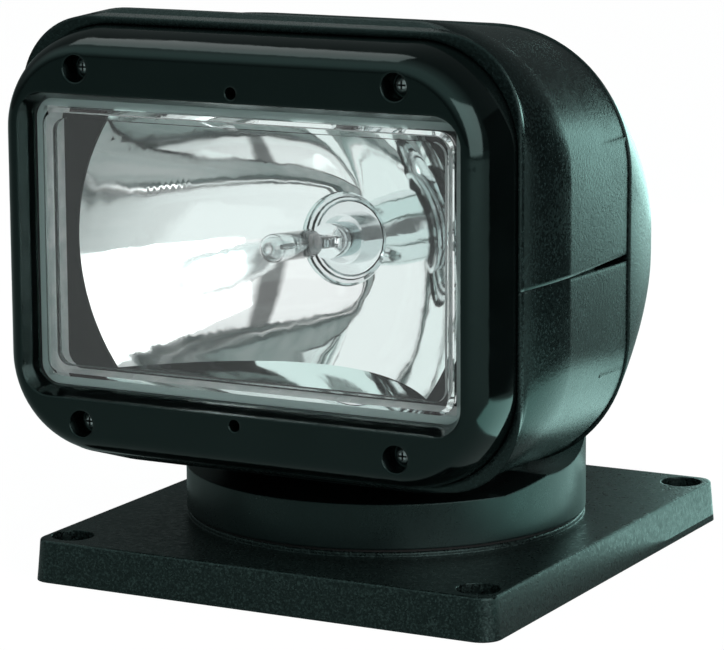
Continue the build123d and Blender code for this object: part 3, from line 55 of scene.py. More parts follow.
# %% [markdown]
# The camera comes before any finish, so that every later choice can be judged in the picture. It
# stands 1.1 m in front of the lamp, 28 degrees round to the right and 11 degrees up, with a long
# lens. From there the bezel and the side of the head are seen together, with little perspective.

# %%
# Camera
AZIMUTH, ELEVATION, ROLL = 28.0718, 10.7037, -0.2894
DISTANCE = 1.1155
TARGET = Vector((-0.006224, -0.00452, 0.074416))
FOCAL_PIXELS, FRAME_PIXELS, SENSOR_MM = 3450.96, 724, 36
around, above = math.radians(AZIMUTH), math.radians(ELEVATION)
back = Vector((math.sin(around) * math.cos(above), -math.cos(around) * math.cos(above), math.sin(above)))
level = (-back).to_track_quat("-Z", "Y").to_matrix()
camera = bpy.data.objects.new("camera", bpy.data.cameras.new("camera"))
scene.collection.objects.link(camera)
camera.location = TARGET + back * DISTANCE
camera.rotation_euler = (level @ Matrix.Rotation(math.radians(ROLL), 3, "Z")).to_euler()
camera.data.lens = FOCAL_PIXELS / FRAME_PIXELS * SENSOR_MM
camera.data.sensor_width = SENSOR_MM
camera.data.clip_start = 0.05
camera.data.clip_end = 20
scene.camera = camera
scene.view_settings.view_transform = "Standard"
print("camera at", [round(v, 4) for v in camera.location])

# %% [markdown]
# Every finish is a small net of shader nodes. The parts' colours are written as sRGB hex, as a paint
# chart gives them, and one function turns them into the linear values that Blender uses. One more
# function adds a node with its settings and links, and hands back the output that the next node needs.
# Most values of a noise lie between 0.35 and 0.65, so that range is named once.

# %%
# Colour and node helpers
MM = 1000
SWING = {"From Min": 0.35, "From Max": 0.65}


def srgb(code):
    """Linear colour from an sRGB hex code."""
    parts = [int(code[i:i + 2], 16) / 255 for i in (0, 2, 4)]
    line = [c / 12.92 if c <= 0.04045 else ((c + 0.055) / 1.055) ** 2.4 for c in parts]
    return (*line, 1.0)


def add(tree, kind, out=None, inputs=(), **settings):
    """Add one shader node; an input may be a value or a socket, and out names the socket given back."""
    node = tree.nodes.new(kind)
    for key, value in settings.items():
        setattr(node, key, value)
    for key, value in dict(inputs).items():
        if isinstance(value, bpy.types.NodeSocket):
            tree.links.new(value, node.inputs[key])
        else:
            node.inputs[key].default_value = value
    return node if out is None else node.outputs[out]


print("1 mm of pattern is a noise scale of", MM)

# %% [markdown]
# Each material starts the same way, with one principled shader and one place to read the pattern
# from. Object coordinates are used, because a pattern on them stays on the part when it turns. A
# value that is the same all over goes straight on the shader's own socket, so that an export keeps it.

# %%
# Start of a material


def new_material(name):
    """Material with one principled shader: the material, its tree, the shader and Object coordinates."""
    material = bpy.data.materials.new(name)
    material.use_nodes = True
    tree = material.node_tree
    tree.nodes.clear()
    shader = add(tree, "ShaderNodeBsdfPrincipled")
    add(tree, "ShaderNodeOutputMaterial", None, {"Surface": shader.outputs["BSDF"]})
    return material, tree, shader, add(tree, "ShaderNodeTexCoord", "Object")


def feed(tree, shader, **values):
    """Set shader inputs by name, with underscores for spaces."""
    for key, value in values.items():
        socket = shader.inputs[key.replace("_", " ")]
        if isinstance(value, bpy.types.NodeSocket):
            tree.links.new(value, socket)
        else:
            socket.default_value = value


print("a material starts with four things: material, tree, shader, place")

# %% [markdown]
# The shells of the head and the neck are satin black ABS, moulded in a spark-eroded tool. That leaves
# a grain of under a millimetre, which catches the light as a faint sparkle, and patches of uneven
# gloss about two centimetres wide. One noise drives the tone, the gloss and the relief of the grain,
# because in a real moulding they are the same bumps. A Bevel node rounds off the sharp CAD edges.

# %%
# Satin moulded plastic
COOL = (0.66, 1.0, 0.95, 1.0)


def moulded(name, light, dark, rough, grain_mm, relief_mm, speck, form=None):
    """Satin black plastic; form gives the normal under the grain where a part has a shape of its own."""
    material, tree, shader, place = new_material(name)
    spark = add(tree, "ShaderNodeTexNoise", "Fac", {"Vector": place, "Scale": MM / grain_mm, "Detail": 3,
                                                    "Roughness": 0.65})
    cloud = add(tree, "ShaderNodeTexNoise", "Fac", {"Vector": place, "Scale": MM / 22, "Detail": 3})
    drift = add(tree, "ShaderNodeMapRange", "Result", {"Value": cloud, **SWING, "To Min": rough[0],
                                                       "To Max": rough[1]})
    worn = add(tree, "ShaderNodeMapRange", "Result", {"Value": spark, "From Min": 0.3, "From Max": 0.7,
                                                      "To Min": -speck, "To Max": speck})
    tone = add(tree, "ShaderNodeMapRange", "Result", {"Value": spark, "From Min": 0.45, "From Max": 0.75})
    if form:
        under = form(tree, place)
    else:
        under = add(tree, "ShaderNodeBevel", "Normal", {"Radius": 0.7 / MM}, samples=6)
    feed(tree, shader, Specular_Tint=COOL,
         Base_Color=add(tree, "ShaderNodeMix", "Result", {"Factor": tone, "A": srgb(dark), "B": srgb(light)},
                        data_type="RGBA"),
         Roughness=add(tree, "ShaderNodeMath", 0, {0: drift, 1: worn}, operation="ADD"),
         Normal=add(tree, "ShaderNodeBump", "Normal", {"Height": spark, "Distance": relief_mm / MM,
                                                       "Strength": 1.0, "Normal": under}))
    return material


neck = moulded("satin black neck moulding", "1a2323", "0b1010", (0.27, 0.36), 0.5, 0.022, 0.05)
print("made", neck.name)

# %% [markdown]
# In front of the crease the head's shells roll inwards to the bezel. The solids hold 2.2 mm of that
# roll. In the photograph the zone is much darker than the sides, as on a rounder surface, so the
# material adds a bump that falls 5.5 mm over the same 27 mm. It follows the part's own Y, so it stays
# in place from every side.

# %%
# Shells of the head
CREASE_Y, SHOULDER_FRONT_Y, SHOULDER_FALL = -0.050, -0.077, 5.5


def rolled_shoulder(tree, place):
    """Normal of the shells, which roll forward from the crease to the lip."""
    along = add(tree, "ShaderNodeSeparateXYZ", "Y", {0: place})
    forward = add(tree, "ShaderNodeMapRange", "Result", {"Value": along, "From Min": SHOULDER_FRONT_Y,
                                                         "From Max": CREASE_Y, "To Min": 1.0, "To Max": 0.0})
    roll = add(tree, "ShaderNodeMath", 0, {0: forward, 1: 2.0}, operation="POWER")
    fall = add(tree, "ShaderNodeMath", 0, {0: roll, 1: -SHOULDER_FALL}, operation="MULTIPLY")
    edge = add(tree, "ShaderNodeBevel", "Normal", {"Radius": 1.6 / MM}, samples=6)
    return add(tree, "ShaderNodeBump", "Normal", {"Height": fall, "Distance": 1 / MM, "Strength": 1.0,
                                                  "Normal": edge})


shell = moulded("satin black moulded ABS", "1c2626", "070a0a", (0.2, 0.28), 0.9, 0.07, 0.07, rolled_shoulder)
print("made", shell.name)

# %% [markdown]
# The bezel is the same black plastic from a polished tool. A deep black shows its shape only by what
# it reflects, so the tone hardly varies. What makes it real is a slight waviness 16 mm wide, which
# bends the edges of the reflections as on any large moulding, and edges rounded by about a millimetre.

# %%
# Polished bezel


def polished():
    """Glossy black plastic with the slight waviness of a moulded face."""
    material, tree, shader, place = new_material("polished black ABS")
    cloud = add(tree, "ShaderNodeTexNoise", "Fac", {"Vector": place, "Scale": MM / 18, "Detail": 3})
    tone = add(tree, "ShaderNodeMapRange", "Result", {"Value": cloud, **SWING})
    haze = add(tree, "ShaderNodeTexNoise", "Fac", {"Vector": place, "Scale": MM / 11, "Detail": 4})
    wave = add(tree, "ShaderNodeTexNoise", "Fac", {"Vector": place, "Scale": MM / 16, "Detail": 2})
    edge = add(tree, "ShaderNodeBevel", "Normal", {"Radius": 1.1 / MM}, samples=6)
    feed(tree, shader, Specular_Tint=COOL,
         Base_Color=add(tree, "ShaderNodeMix", "Result", {"Factor": tone, "A": srgb("030505"),
                                                          "B": srgb("060909")}, data_type="RGBA"),
         Roughness=add(tree, "ShaderNodeMapRange", "Result", {"Value": haze, **SWING, "To Min": 0.06,
                                                              "To Max": 0.12}),
         Normal=add(tree, "ShaderNodeBump", "Normal", {"Height": wave, "Distance": 0.05 / MM, "Strength": 0.5,
                                                       "Normal": edge}))
    return material


gloss = polished()
print("made", gloss.name)

# %% [markdown]
# The base is a die casting under crinkled semi-matt paint, which dries into small folds just under a
# millimetre across. A cell pattern gives the folds and a noise breaks them up, so that the eye reads
# a rough, hard skin. Another noise picks out the light specks that the photograph shows.

# %%
# Crinkled paint on the base


def crinkle():
    """Semi-matt black paint with a crinkled speckle over a die casting."""
    material, tree, shader, place = new_material("crinkled black paint on casting")
    folds = add(tree, "ShaderNodeTexVoronoi", "Distance", {"Vector": place, "Scale": MM / 0.8},
                feature="SMOOTH_F1")
    dust = add(tree, "ShaderNodeTexNoise", "Fac", {"Vector": place, "Scale": MM / 0.7, "Detail": 3,
                                                   "Roughness": 0.75})
    speck = add(tree, "ShaderNodeMapRange", "Result", {"Value": dust, "From Min": 0.5, "From Max": 0.64})
    haze = add(tree, "ShaderNodeTexNoise", "Fac", {"Vector": place, "Scale": MM / 1.4, "Detail": 3})
    grit = add(tree, "ShaderNodeTexNoise", "Fac", {"Vector": place, "Scale": MM / 0.9, "Detail": 3,
                                                   "Roughness": 0.65})
    edge = add(tree, "ShaderNodeBevel", "Normal", {"Radius": 0.6 / MM}, samples=6)
    under = add(tree, "ShaderNodeBump", "Normal", {"Height": folds, "Distance": 0.04 / MM, "Strength": 1.0,
                                                   "Normal": edge})
    feed(tree, shader, Specular_Tint=COOL,
         Base_Color=add(tree, "ShaderNodeMix", "Result", {"Factor": speck, "A": srgb("080c0c"),
                                                          "B": srgb("323f3d")}, data_type="RGBA"),
         Roughness=add(tree, "ShaderNodeMapRange", "Result", {"Value": haze, **SWING, "To Min": 0.24,
                                                              "To Max": 0.44}),
         Normal=add(tree, "ShaderNodeBump", "Normal", {"Height": grit, "Distance": 0.08 / MM, "Strength": 1.0,
                                                       "Normal": under}))
    return material


cast = crinkle()
print("made", cast.name)

# %% [markdown]
# Many smaller parts are plain: a moulding, a casting, a rubber ring. They share one recipe of two
# close tones in patches, gloss that varies a little more broadly, and a fine relief. Only the colours
# and the sizes differ, so the recipe is one function. The black surround of the reflector is matt
# and hardly shines, because behind the lens even a faint shine would look grey.

# %%
# Plain surfaces
BROADER = 2.3


def surface(name, light, dark, spot_mm, rough, relief_mm=0.0, relief_size_mm=0.5, shine=0.5):
    """Plain surface: two close tones, uneven gloss and a fine relief."""
    material, tree, shader, place = new_material(name)
    spots = add(tree, "ShaderNodeTexNoise", "Fac", {"Vector": place, "Scale": MM / spot_mm, "Detail": 4})
    tone = add(tree, "ShaderNodeMapRange", "Result", {"Value": spots, **SWING})
    haze = add(tree, "ShaderNodeTexNoise", "Fac", {"Vector": place, "Scale": MM / (spot_mm * BROADER),
                                                   "Detail": 3})
    feed(tree, shader, Specular_IOR_Level=shine,
         Base_Color=add(tree, "ShaderNodeMix", "Result", {"Factor": tone, "A": srgb(dark), "B": srgb(light)},
                        data_type="RGBA"),
         Roughness=add(tree, "ShaderNodeMapRange", "Result", {"Value": haze, **SWING, "To Min": rough[0],
                                                              "To Max": rough[1]}))
    if relief_mm:
        fine = add(tree, "ShaderNodeTexNoise", "Fac", {"Vector": place, "Scale": MM / relief_size_mm,
                                                       "Detail": 2})
        feed(tree, shader, Normal=add(tree, "ShaderNodeBump", "Normal", {"Height": fine, "Strength": 1.0,
                                                                         "Distance": relief_mm / MM}))
    return material


# Moulded in a blasted tool: it has no clear highlight and stays in the background.
# The cross bars on the bezel's screw tops take it too, as painted shade of the cross recess.
matt_black_and_recess_shade = surface("matt black moulding and painted recess shade", "0a0d0d", "050707", 4.0, (0.45, 0.6), 0.01, 0.3)
# Painted flat: it hardly shines, so the bright bowl stands out against it.
mask = surface("flat black reflector surround", "080b0b", "030505", 6.0, (0.5, 0.65), 0.005, 0.5, 0.12)
# Moulded rubber scatters the light, so the seals look like soft dark lines.
rubber = surface("black rubber seal", "0c0d0d", "070808", 3.0, (0.55, 0.7), 0.01, 0.25)
# Paint over a rough casting: its highlights are broad and broken.
arm = surface("black painted cast aluminium", "161b1b", "0e1212", 5.0, (0.4, 0.55), 0.03, 0.8)
# Moulded without pigment: milky white, with a waxy shine.
acetal = surface("natural acetal", "e2dfd2", "d4d0c2", 6.0, (0.35, 0.45), 0.004, 0.4)
# Glass fibres lie at the skin of the moulding and make it dull.
grey_box = surface("grey glass filled nylon", "3c3f40", "2f3233", 3.0, (0.45, 0.6), 0.02, 0.5)
# Pressed phenolic resin: nearly black, with a dry gloss.
phenolic = surface("black phenolic bulb holder", "141616", "0b0d0d", 4.0, (0.35, 0.5), 0.02, 0.4)
# Aluminium coated over a satin moulding: bright, with soft reflections.
pale_rim = surface("satin aluminised rim", "f2f9f8", "d3e2e0", 7.0, (0.2, 0.3), 0.004, 0.5)
print("made 8 plain surfaces")

# %% [markdown]
# Screws, gears, motor cans and wires are metal that was turned, drawn or plated. Their base colour is
# the metal's own, and the eye reads the working marks: a fine random relief a few tenths of a
# millimetre wide, with the gloss drifting over about three millimetres.

# %%
# Worked metals


def turned(name, colour, rough=(0.18, 0.32), mark_mm=0.15):
    """Worked metal with fine random tool marks."""
    material, tree, shader, place = new_material(name)
    haze = add(tree, "ShaderNodeTexNoise", "Fac", {"Vector": place, "Scale": MM / 3, "Detail": 3})
    marks = add(tree, "ShaderNodeTexNoise", "Fac", {"Vector": place, "Scale": MM / mark_mm, "Detail": 1})
    feed(tree, shader, Base_Color=srgb(colour), Metallic=1.0,
         Roughness=add(tree, "ShaderNodeMapRange", "Result", {"Value": haze, **SWING, "To Min": rough[0],
                                                              "To Max": rough[1]}),
         Normal=add(tree, "ShaderNodeBump", "Normal", {"Height": marks, "Distance": 0.004 / MM,
                                                       "Strength": 0.6}))
    return material


# Bright plating over turned steel: light, with a soft bloom over the tool marks.
steel = turned("bright zinc plated steel screw", "eef4f4", (0.3, 0.45), 0.3)
# Plated sheet is greyer, and what it reflects is blurred.
zinc = turned("zinc plated steel sheet", "a9b0b2", (0.3, 0.45), 0.4)
# Cut brass is warm, with fairly clear highlights.
brass = turned("machined brass", "b8954a")
# Sintered bronze is full of pores, which make it darker and dull.
bronze = turned("sintered bronze", "8a6a3c", (0.4, 0.55), 0.3)
# Nickel over smooth steel is almost a mirror.
chrome = turned("bright nickel plated bulb base", "e2eaea", (0.05, 0.14), 0.6)
# Drawing leaves the can even and half bright.
can = turned("drawn steel motor can", "9ca2a4", (0.28, 0.4), 0.5)
# Drawn tungsten is mid grey, and fairly dull.
tungsten = turned("drawn tungsten filament", "8d8f90", (0.3, 0.4), 0.2)
# The leads are paler and smoother than the filament.
wires = turned("molybdenum lead wire", "b9bebf", (0.2, 0.3), 0.2)
print("made 8 metals")

# %% [markdown]
# The reflector is a pressed bowl coated with aluminium in a vacuum. It is a clean mirror, and only a
# waviness 14 mm wide shows that it was pressed. The bulb's glass is clear quartz, with its own lower
# index of refraction.

# %%
# Mirror and quartz


def mirror():
    """Vapour coated reflector with slight waviness."""
    material, tree, shader, place = new_material("vapour coated aluminium mirror")
    haze = add(tree, "ShaderNodeTexNoise", "Fac", {"Vector": place, "Scale": MM / 12, "Detail": 2})
    wave = add(tree, "ShaderNodeTexNoise", "Fac", {"Vector": place, "Scale": MM / 14, "Detail": 2})
    feed(tree, shader, Base_Color=srgb("f6fcfb"), Metallic=1.0,
         Roughness=add(tree, "ShaderNodeMapRange", "Result", {"Value": haze, **SWING, "To Min": 0.03,
                                                              "To Max": 0.07}),
         Normal=add(tree, "ShaderNodeBump", "Normal", {"Height": wave, "Distance": 0.05 / MM,
                                                       "Strength": 0.35}))
    return material


def clear(name, tint, rough, ior):
    """Clear glass, lightly tinted."""
    material, tree, shader, place = new_material(name)
    haze = add(tree, "ShaderNodeTexNoise", "Fac", {"Vector": place, "Scale": MM / 9, "Detail": 2})
    feed(tree, shader, Base_Color=srgb(tint), Transmission_Weight=1.0, IOR=ior,
         Roughness=add(tree, "ShaderNodeMapRange", "Result", {"Value": haze, **SWING, "To Min": rough[0],
                                                              "To Max": rough[1]}))
    return material


# So clean a mirror gives the eye sharp patches of light and dark.
reflect = mirror()
# It has hardly any colour of its own, so the eye finds it by its edges and highlights.
quartz = clear("clear quartz glass", "f6fafa", (0.0, 0.01), 1.46)
print("made", reflect.name, "and", quartz.name)

# %% [markdown]
# The lens is pressed glass with a clear pane and a ground flange round it. The flange starts four
# millimetres in from the lens's own edge, measured from its box in the frame. Across that line the
# glass turns milky: less light passes straight through and more is scattered.

# %%
# Lens glass
FLANGE_W, EDGE_SOFT = 0.004, 0.0003
lens_low, lens_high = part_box("lens")
PANE_HALF_W = (lens_high[0] - lens_low[0]) / 2 - FLANGE_W
PANE_HALF_H = (lens_high[2] - lens_low[2]) / 2 - FLANGE_W
LENS_MIDDLE_Z = (lens_high[2] + lens_low[2]) / 2


def pressed_lens():
    """Clear lens whose outer border is ground and looks milky."""
    material, tree, shader, place = new_material("clear pressed lens glass")
    parts = add(tree, "ShaderNodeSeparateXYZ", None, {0: place})
    past = []
    for axis, middle, half in (("X", 0.0, PANE_HALF_W), ("Z", LENS_MIDDLE_Z, PANE_HALF_H)):
        off = add(tree, "ShaderNodeMath", 0, {0: parts.outputs[axis], 1: middle}, operation="SUBTRACT")
        away = add(tree, "ShaderNodeMath", 0, {0: off}, operation="ABSOLUTE")
        past.append(add(tree, "ShaderNodeMath", 0, {0: away, 1: half}, operation="SUBTRACT"))
    beyond = add(tree, "ShaderNodeMath", 0, {0: past[0], 1: past[1]}, operation="MAXIMUM")
    milky = add(tree, "ShaderNodeMapRange", "Result", {"Value": beyond, "From Min": 0.0,
                                                       "From Max": EDGE_SOFT})
    ripple = add(tree, "ShaderNodeTexNoise", "Fac", {"Vector": place, "Scale": MM / 3, "Detail": 2})
    feed(tree, shader, IOR=1.5,
         Base_Color=add(tree, "ShaderNodeMix", "Result", {"Factor": milky, "A": srgb("ffffff"),
                                                          "B": srgb("d8e8e6")}, data_type="RGBA"),
         Roughness=add(tree, "ShaderNodeMapRange", "Result", {"Value": milky, "To Max": 0.16}),
         Transmission_Weight=add(tree, "ShaderNodeMapRange", "Result", {"Value": milky, "To Min": 1.0,
                                                                        "To Max": 0.55}),
         Normal=add(tree, "ShaderNodeBump", "Normal", {"Height": ripple, "Distance": 0.02 / MM,
                                                       "Strength": 0.2}))
    return material


# The pane shows the bowl clearly, and the border frames it with a pale band.
lens_glass = pressed_lens()
print("pane half size in mm", round(PANE_HALF_W * MM, 1), round(PANE_HALF_H * MM, 1))

# %% [markdown]
# Now every part of the frame gets its finish. One table names the parts of each finish, so that a
# part without one is easy to see, and one loop hands them out. Parts that nobody sees at rest are in
# it as well, because they come into view when the head tilts or the lamp is taken apart.

# %%
# Hand out the finishes
finishes = {
    cast: ["base_plate"],
    shell: ["upper_shell", "lower_shell", "rear_cover"],
    neck: ["neck_shell"],
    gloss: ["bezel"],
    matt_black_and_recess_shade: ["base_cover", "slot_liner_left", "slot_liner_right"],
    mask: ["reflector_mask"],
    rubber: ["neck_seal", "bezel_gasket", "lens_gasket"],
    steel: ["cover_screws", "spindle_screws", "neck_screws", "yoke_screws", "pan_screws",
            "rear_cover_screws", "bezel_screws", "clamp_screws"],
    zinc: ["pan_spindle", "spindle_nut", "trunnion_left", "trunnion_right", "lamp_clamp", "bulb_clip",
           "tilt_bracket"],
    brass: ["pan_gear", "tilt_gear"],
    bronze: ["pan_bush", "trunnion_bushes"],
    can: ["pan_motor", "tilt_motor"],
    chrome: ["bulb_base"],
    arm: ["turntable_disc", "yoke_arm_left", "yoke_arm_right"],
    acetal: ["thrust_washer", "pan_pinion", "tilt_pinion"],
    grey_box: ["pan_gearbox", "tilt_gearbox"],
    phenolic: ["bulb_holder"],
    lens_glass: ["lens"],
    quartz: ["bulb_capsule"],
    reflect: ["reflector"],
    pale_rim: ["lens_rim"],
}
for material, names in finishes.items():
    for name in names:
        mesh = nodes[name].data
        mesh.materials.clear()
        mesh.materials.append(material)
print("finished nodes", sum(len(names) for names in finishes.values()))

# %% [markdown]
# The bulb, its ring and the screws are round, so they are turned: half an outline is drawn in the
# plane of the axis and spun round it, as on a lathe. All are drawn along Y in millimetres. What
# belongs to the bulb is then tilted up with it, by the same angle as in the CAD.

# %%
# Turning and placing
LATHE_STEPS, SAME_POINT = 40, 1e-6
BULB_PIVOT = Vector((0, -0.028, 0.1066))
BULB_RISE = 4.7
along_bulb = (Matrix.Translation(BULB_PIVOT) @ Matrix.Rotation(math.radians(-BULB_RISE), 4, "X")
              @ Matrix.Translation((0, -BULB_PIVOT.y, 0)))


def turned_form(mesh, outline):
    """Add a form of revolution about Y; an outline is pairs of radius and Y in millimetres."""
    points = [mesh.verts.new((r / MM, y / MM, 0)) for r, y in outline]
    edges = [mesh.edges.new(pair) for pair in zip(points, points[1:])]
    bmesh.ops.spin(mesh, geom=points + edges, cent=(0, 0, 0), axis=(0, 1, 0), angle=2 * math.pi,
                   steps=LATHE_STEPS, use_merge=True)
    bmesh.ops.remove_doubles(mesh, verts=mesh.verts, dist=SAME_POINT)


def finished(name, mesh, materials, smooth):
    """Make a mesh into a piece that rides on the head."""
    data = bpy.data.meshes.new(name)
    mesh.to_mesh(data)
    mesh.free()
    for face in data.polygons:
        face.use_smooth = smooth
    for material in materials:
        data.materials.append(material)
    piece = bpy.data.objects.new(name, data)
    scene.collection.objects.link(piece)
    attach(piece, "head")
    return piece


print("the bulb rises by", BULB_RISE, "degrees")

# %% [markdown]
# The halogen capsule is a thin quartz tube with a round end and a small sealed nub. The CAD has it as
# a solid, which would look like a rod of glass, so here it gets a hollow: the same outline drawn in
# by the wall and turned with its faces inwards. The rear is pinched flat round the current's foils.

# %%
# Halogen capsule
WALL = 0.8
TIP_Y, STRAIGHT_Y, REAR_Y, PINCH_Y = -76.4, -71.8, -49.0, -46.2
CAPSULE_R, NUB_R, PINCH_R = 4.4, 1.1, 2.6
NUB_DEEP, NUB_FLAT, NUB_CLEAR, TIP_WALL, DOME_STEPS = 0.5, 0.7, 0.2, 1.4, 7
TAIL_Y, TAIL_SIZE, TAIL_EDGE = -40.5, (7.8, 10.8, 3.4), 0.8


def quarter(radius, y_tip, y_side):
    """Round end between the axis and the side of a tube."""
    turns = [math.radians(90 * i / DOME_STEPS) for i in range(1, DOME_STEPS + 1)]
    return [(radius * math.sin(t), y_side + (y_tip - y_side) * math.cos(t)) for t in turns]


def wall_outline(inset):
    """Half outline of the capsule, drawn in by the wall for the hollow."""
    end = [(0, TIP_Y + TIP_WALL * inset)]
    if not inset:
        end += [(NUB_R * NUB_FLAT, TIP_Y), (NUB_R, TIP_Y + NUB_DEEP)]
    radius = CAPSULE_R - inset
    dome = quarter(radius, TIP_Y + NUB_DEEP + inset, STRAIGHT_Y)
    dome = [point for point in dome if point[0] > NUB_R + NUB_CLEAR]
    return end + dome + [(radius, REAR_Y), (PINCH_R - inset, PINCH_Y - inset), (0, PINCH_Y - inset)]


def capsule():
    """Quartz tube with its hollow, and the pinched tail."""
    mesh = bmesh.new()
    turned_form(mesh, wall_outline(0))
    bmesh.ops.recalc_face_normals(mesh, faces=mesh.faces)
    hollow = bmesh.new()
    turned_form(hollow, wall_outline(WALL))
    bmesh.ops.recalc_face_normals(hollow, faces=hollow.faces)
    bmesh.ops.reverse_faces(hollow, faces=hollow.faces)
    held = bpy.data.meshes.new("hollow")
    hollow.to_mesh(held)
    hollow.free()
    mesh.from_mesh(held)
    shape = Matrix.Translation((0, TAIL_Y / MM, 0)) @ Matrix.Diagonal((*(v / MM for v in TAIL_SIZE), 1))
    tail = bmesh.ops.create_cube(mesh, size=1, matrix=shape)
    edges = list({edge for vert in tail["verts"] for edge in vert.link_edges})
    bmesh.ops.bevel(mesh, geom=edges, offset=TAIL_EDGE / MM, segments=2, profile=0.5, affect="EDGES",
                    material=-1)
    bmesh.ops.transform(mesh, matrix=along_bulb, verts=mesh.verts)
    return finished("bulb_glass", mesh, [quartz], True)


glass = capsule()
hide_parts("bulb_capsule")
print("capsule", len(glass.data.polygons), "faces")

# %% [markdown]
# Inside the glass a tungsten coil hangs between two leads, and the long one runs past it to its front
# end. A curve with a round section gives a wire in a few points. It is made a mesh before it is placed.

# %%
# Filament and leads
COIL_TURNS, COIL_FRONT_Y, COIL_REAR_Y, COIL_R = 11, -66.0, -60.0, 0.85
COIL_WIRE_R, LEAD_R, TURN_STEPS = 0.16, 0.24, 12
LONG_LEAD = [(1.9, -46, 0), (2.3, -50, 0), (2.3, -66, 0), (0.85, -66.4, 0)]
SHORT_LEAD = [(-1.9, -46, 0), (-1.9, -56, 0), (-0.9, -60, 0)]


def wire(name, points, radius, material):
    """Round wire through points given in millimetres."""
    curve = bpy.data.curves.new(name, "CURVE")
    curve.dimensions = "3D"
    curve.bevel_depth = radius / MM
    curve.bevel_resolution = 2
    spline = curve.splines.new("POLY")
    spline.points.add(len(points) - 1)
    for place, (x, y, z) in zip(spline.points, points):
        place.co = (x / MM, y / MM, z / MM, 1)
    holder = bpy.data.objects.new(name, curve)
    mesh = bmesh.new()
    mesh.from_mesh(bpy.data.meshes.new_from_object(holder))
    bmesh.ops.transform(mesh, matrix=along_bulb, verts=mesh.verts)
    return finished(name, mesh, [material], True)


def coil_points():
    """Tight coil round the bulb's axis."""
    steps = COIL_TURNS * TURN_STEPS
    points = []
    for i in range(steps + 1):
        turn = 2 * math.pi * COIL_TURNS * i / steps
        y = COIL_FRONT_Y + (COIL_REAR_Y - COIL_FRONT_Y) * i / steps
        points.append((COIL_R * math.cos(turn), y, COIL_R * math.sin(turn)))
    return points


filament = wire("filament", coil_points(), COIL_WIRE_R, tungsten)
wire("filament_lead_long", LONG_LEAD, LEAD_R, wires)
wire("filament_lead_short", SHORT_LEAD, LEAD_R, wires)
print("filament", len(filament.data.polygons), "faces")

# %% [markdown]
# A bright rolled ring lies round the bulb's disc and hides the black flange of the holder. Its outline
# rises in steps, and its faces stay flat, so that the steps show as crisp bright circles.

# %%
# Ring round the bulb's base
COLLAR_BORE_R, COLLAR_R, SEAT_Y = 11.8, 15.2, -21.0


def collar():
    """Bright rolled ring that covers the holder's flange."""
    rises = [(COLLAR_BORE_R, 0), (COLLAR_BORE_R, 1.4), (COLLAR_BORE_R + 0.4, 1.9)]
    crown = [(COLLAR_BORE_R + 1.1, 2.1), (COLLAR_BORE_R + 1.5, 3.1), (COLLAR_R - 1.0, 3.4)]
    falls = [(COLLAR_R - 0.3, 3.1), (COLLAR_R, 2.4), (COLLAR_R, 0), (COLLAR_BORE_R, 0)]
    mesh = bmesh.new()
    turned_form(mesh, [(radius, SEAT_Y - rise) for radius, rise in rises + crown + falls])
    bmesh.ops.recalc_face_normals(mesh, faces=mesh.faces)
    bmesh.ops.transform(mesh, matrix=along_bulb, verts=mesh.verts)
    return finished("bulb_collar", mesh, [chrome], False)


ring = collar()
print("ring", len(ring.data.polygons), "faces")

# %% [markdown]
# Four domed cross-head screws hold the bezel, deep in round seats. The CAD has their solid heads, and
# domed tops are set on them here, because a dome catches the light from any side. The cross recess is
# not cut: two matt black bars let into the dome stand in for it, as painted shade.

# %%
# Tops of the bezel screws
SCREW_SEAT_Y, SCREW_HEAD_R, SCREW_RISE = -91.05, 2.5, 2.2
SCREW_PLACES = [(side * 54.3, z) for side in (-1, 1) for z in (55.2, 164.8)]
CROSS_LONG, CROSS_WIDE, CROSS_DEEP, CROSS_SUNK = 2.6, 0.55, 0.8, 0.36


def screw_heads():
    """Domed tops on the bezel's screws, with matt black bars as painted shade of the cross recess."""
    mesh = bmesh.new()
    top = SCREW_SEAT_Y - SCREW_RISE
    dome = [(0, top), (1.2, top + 0.08), (1.9, top + 0.4), (SCREW_HEAD_R, top + 1.1)]
    foot = [(SCREW_HEAD_R, SCREW_SEAT_Y), (0, SCREW_SEAT_Y)]
    for x, z in SCREW_PLACES:
        head = bmesh.new()
        turned_form(head, dome + foot)
        for wide, high in ((CROSS_LONG, CROSS_WIDE), (CROSS_WIDE, CROSS_LONG)):
            size = Matrix.Diagonal((wide / MM, CROSS_DEEP / MM, high / MM, 1))
            bar = Matrix.Translation((0, (top + CROSS_SUNK) / MM, 0)) @ size
            made = bmesh.ops.create_cube(head, size=1, matrix=bar)
            # The bars take the second material, matt black: painted shade where the cross recess would be.
            for face in {face for vert in made["verts"] for face in vert.link_faces}:
                face.material_index = 1
        bmesh.ops.translate(head, verts=head.verts, vec=(x / MM, 0, z / MM))
        held = bpy.data.meshes.new("head")
        head.to_mesh(held)
        head.free()
        mesh.from_mesh(held)
    bmesh.ops.recalc_face_normals(mesh, faces=mesh.faces)
    return finished("bezel_screw_heads", mesh, [steel, matt_black_and_recess_shade], False)


tops = screw_heads()
print("screw tops", len(tops.data.polygons), "faces")

# %% [markdown]
# The floor is white paper. To the camera it glows just short of white and keeps a trace of the
# contact shadow. Glossy parts see plain lit paper, which is darker. Rays that leave the reflector
# through the lens see it glow nearly white, because the bowl is that bright in the photograph.

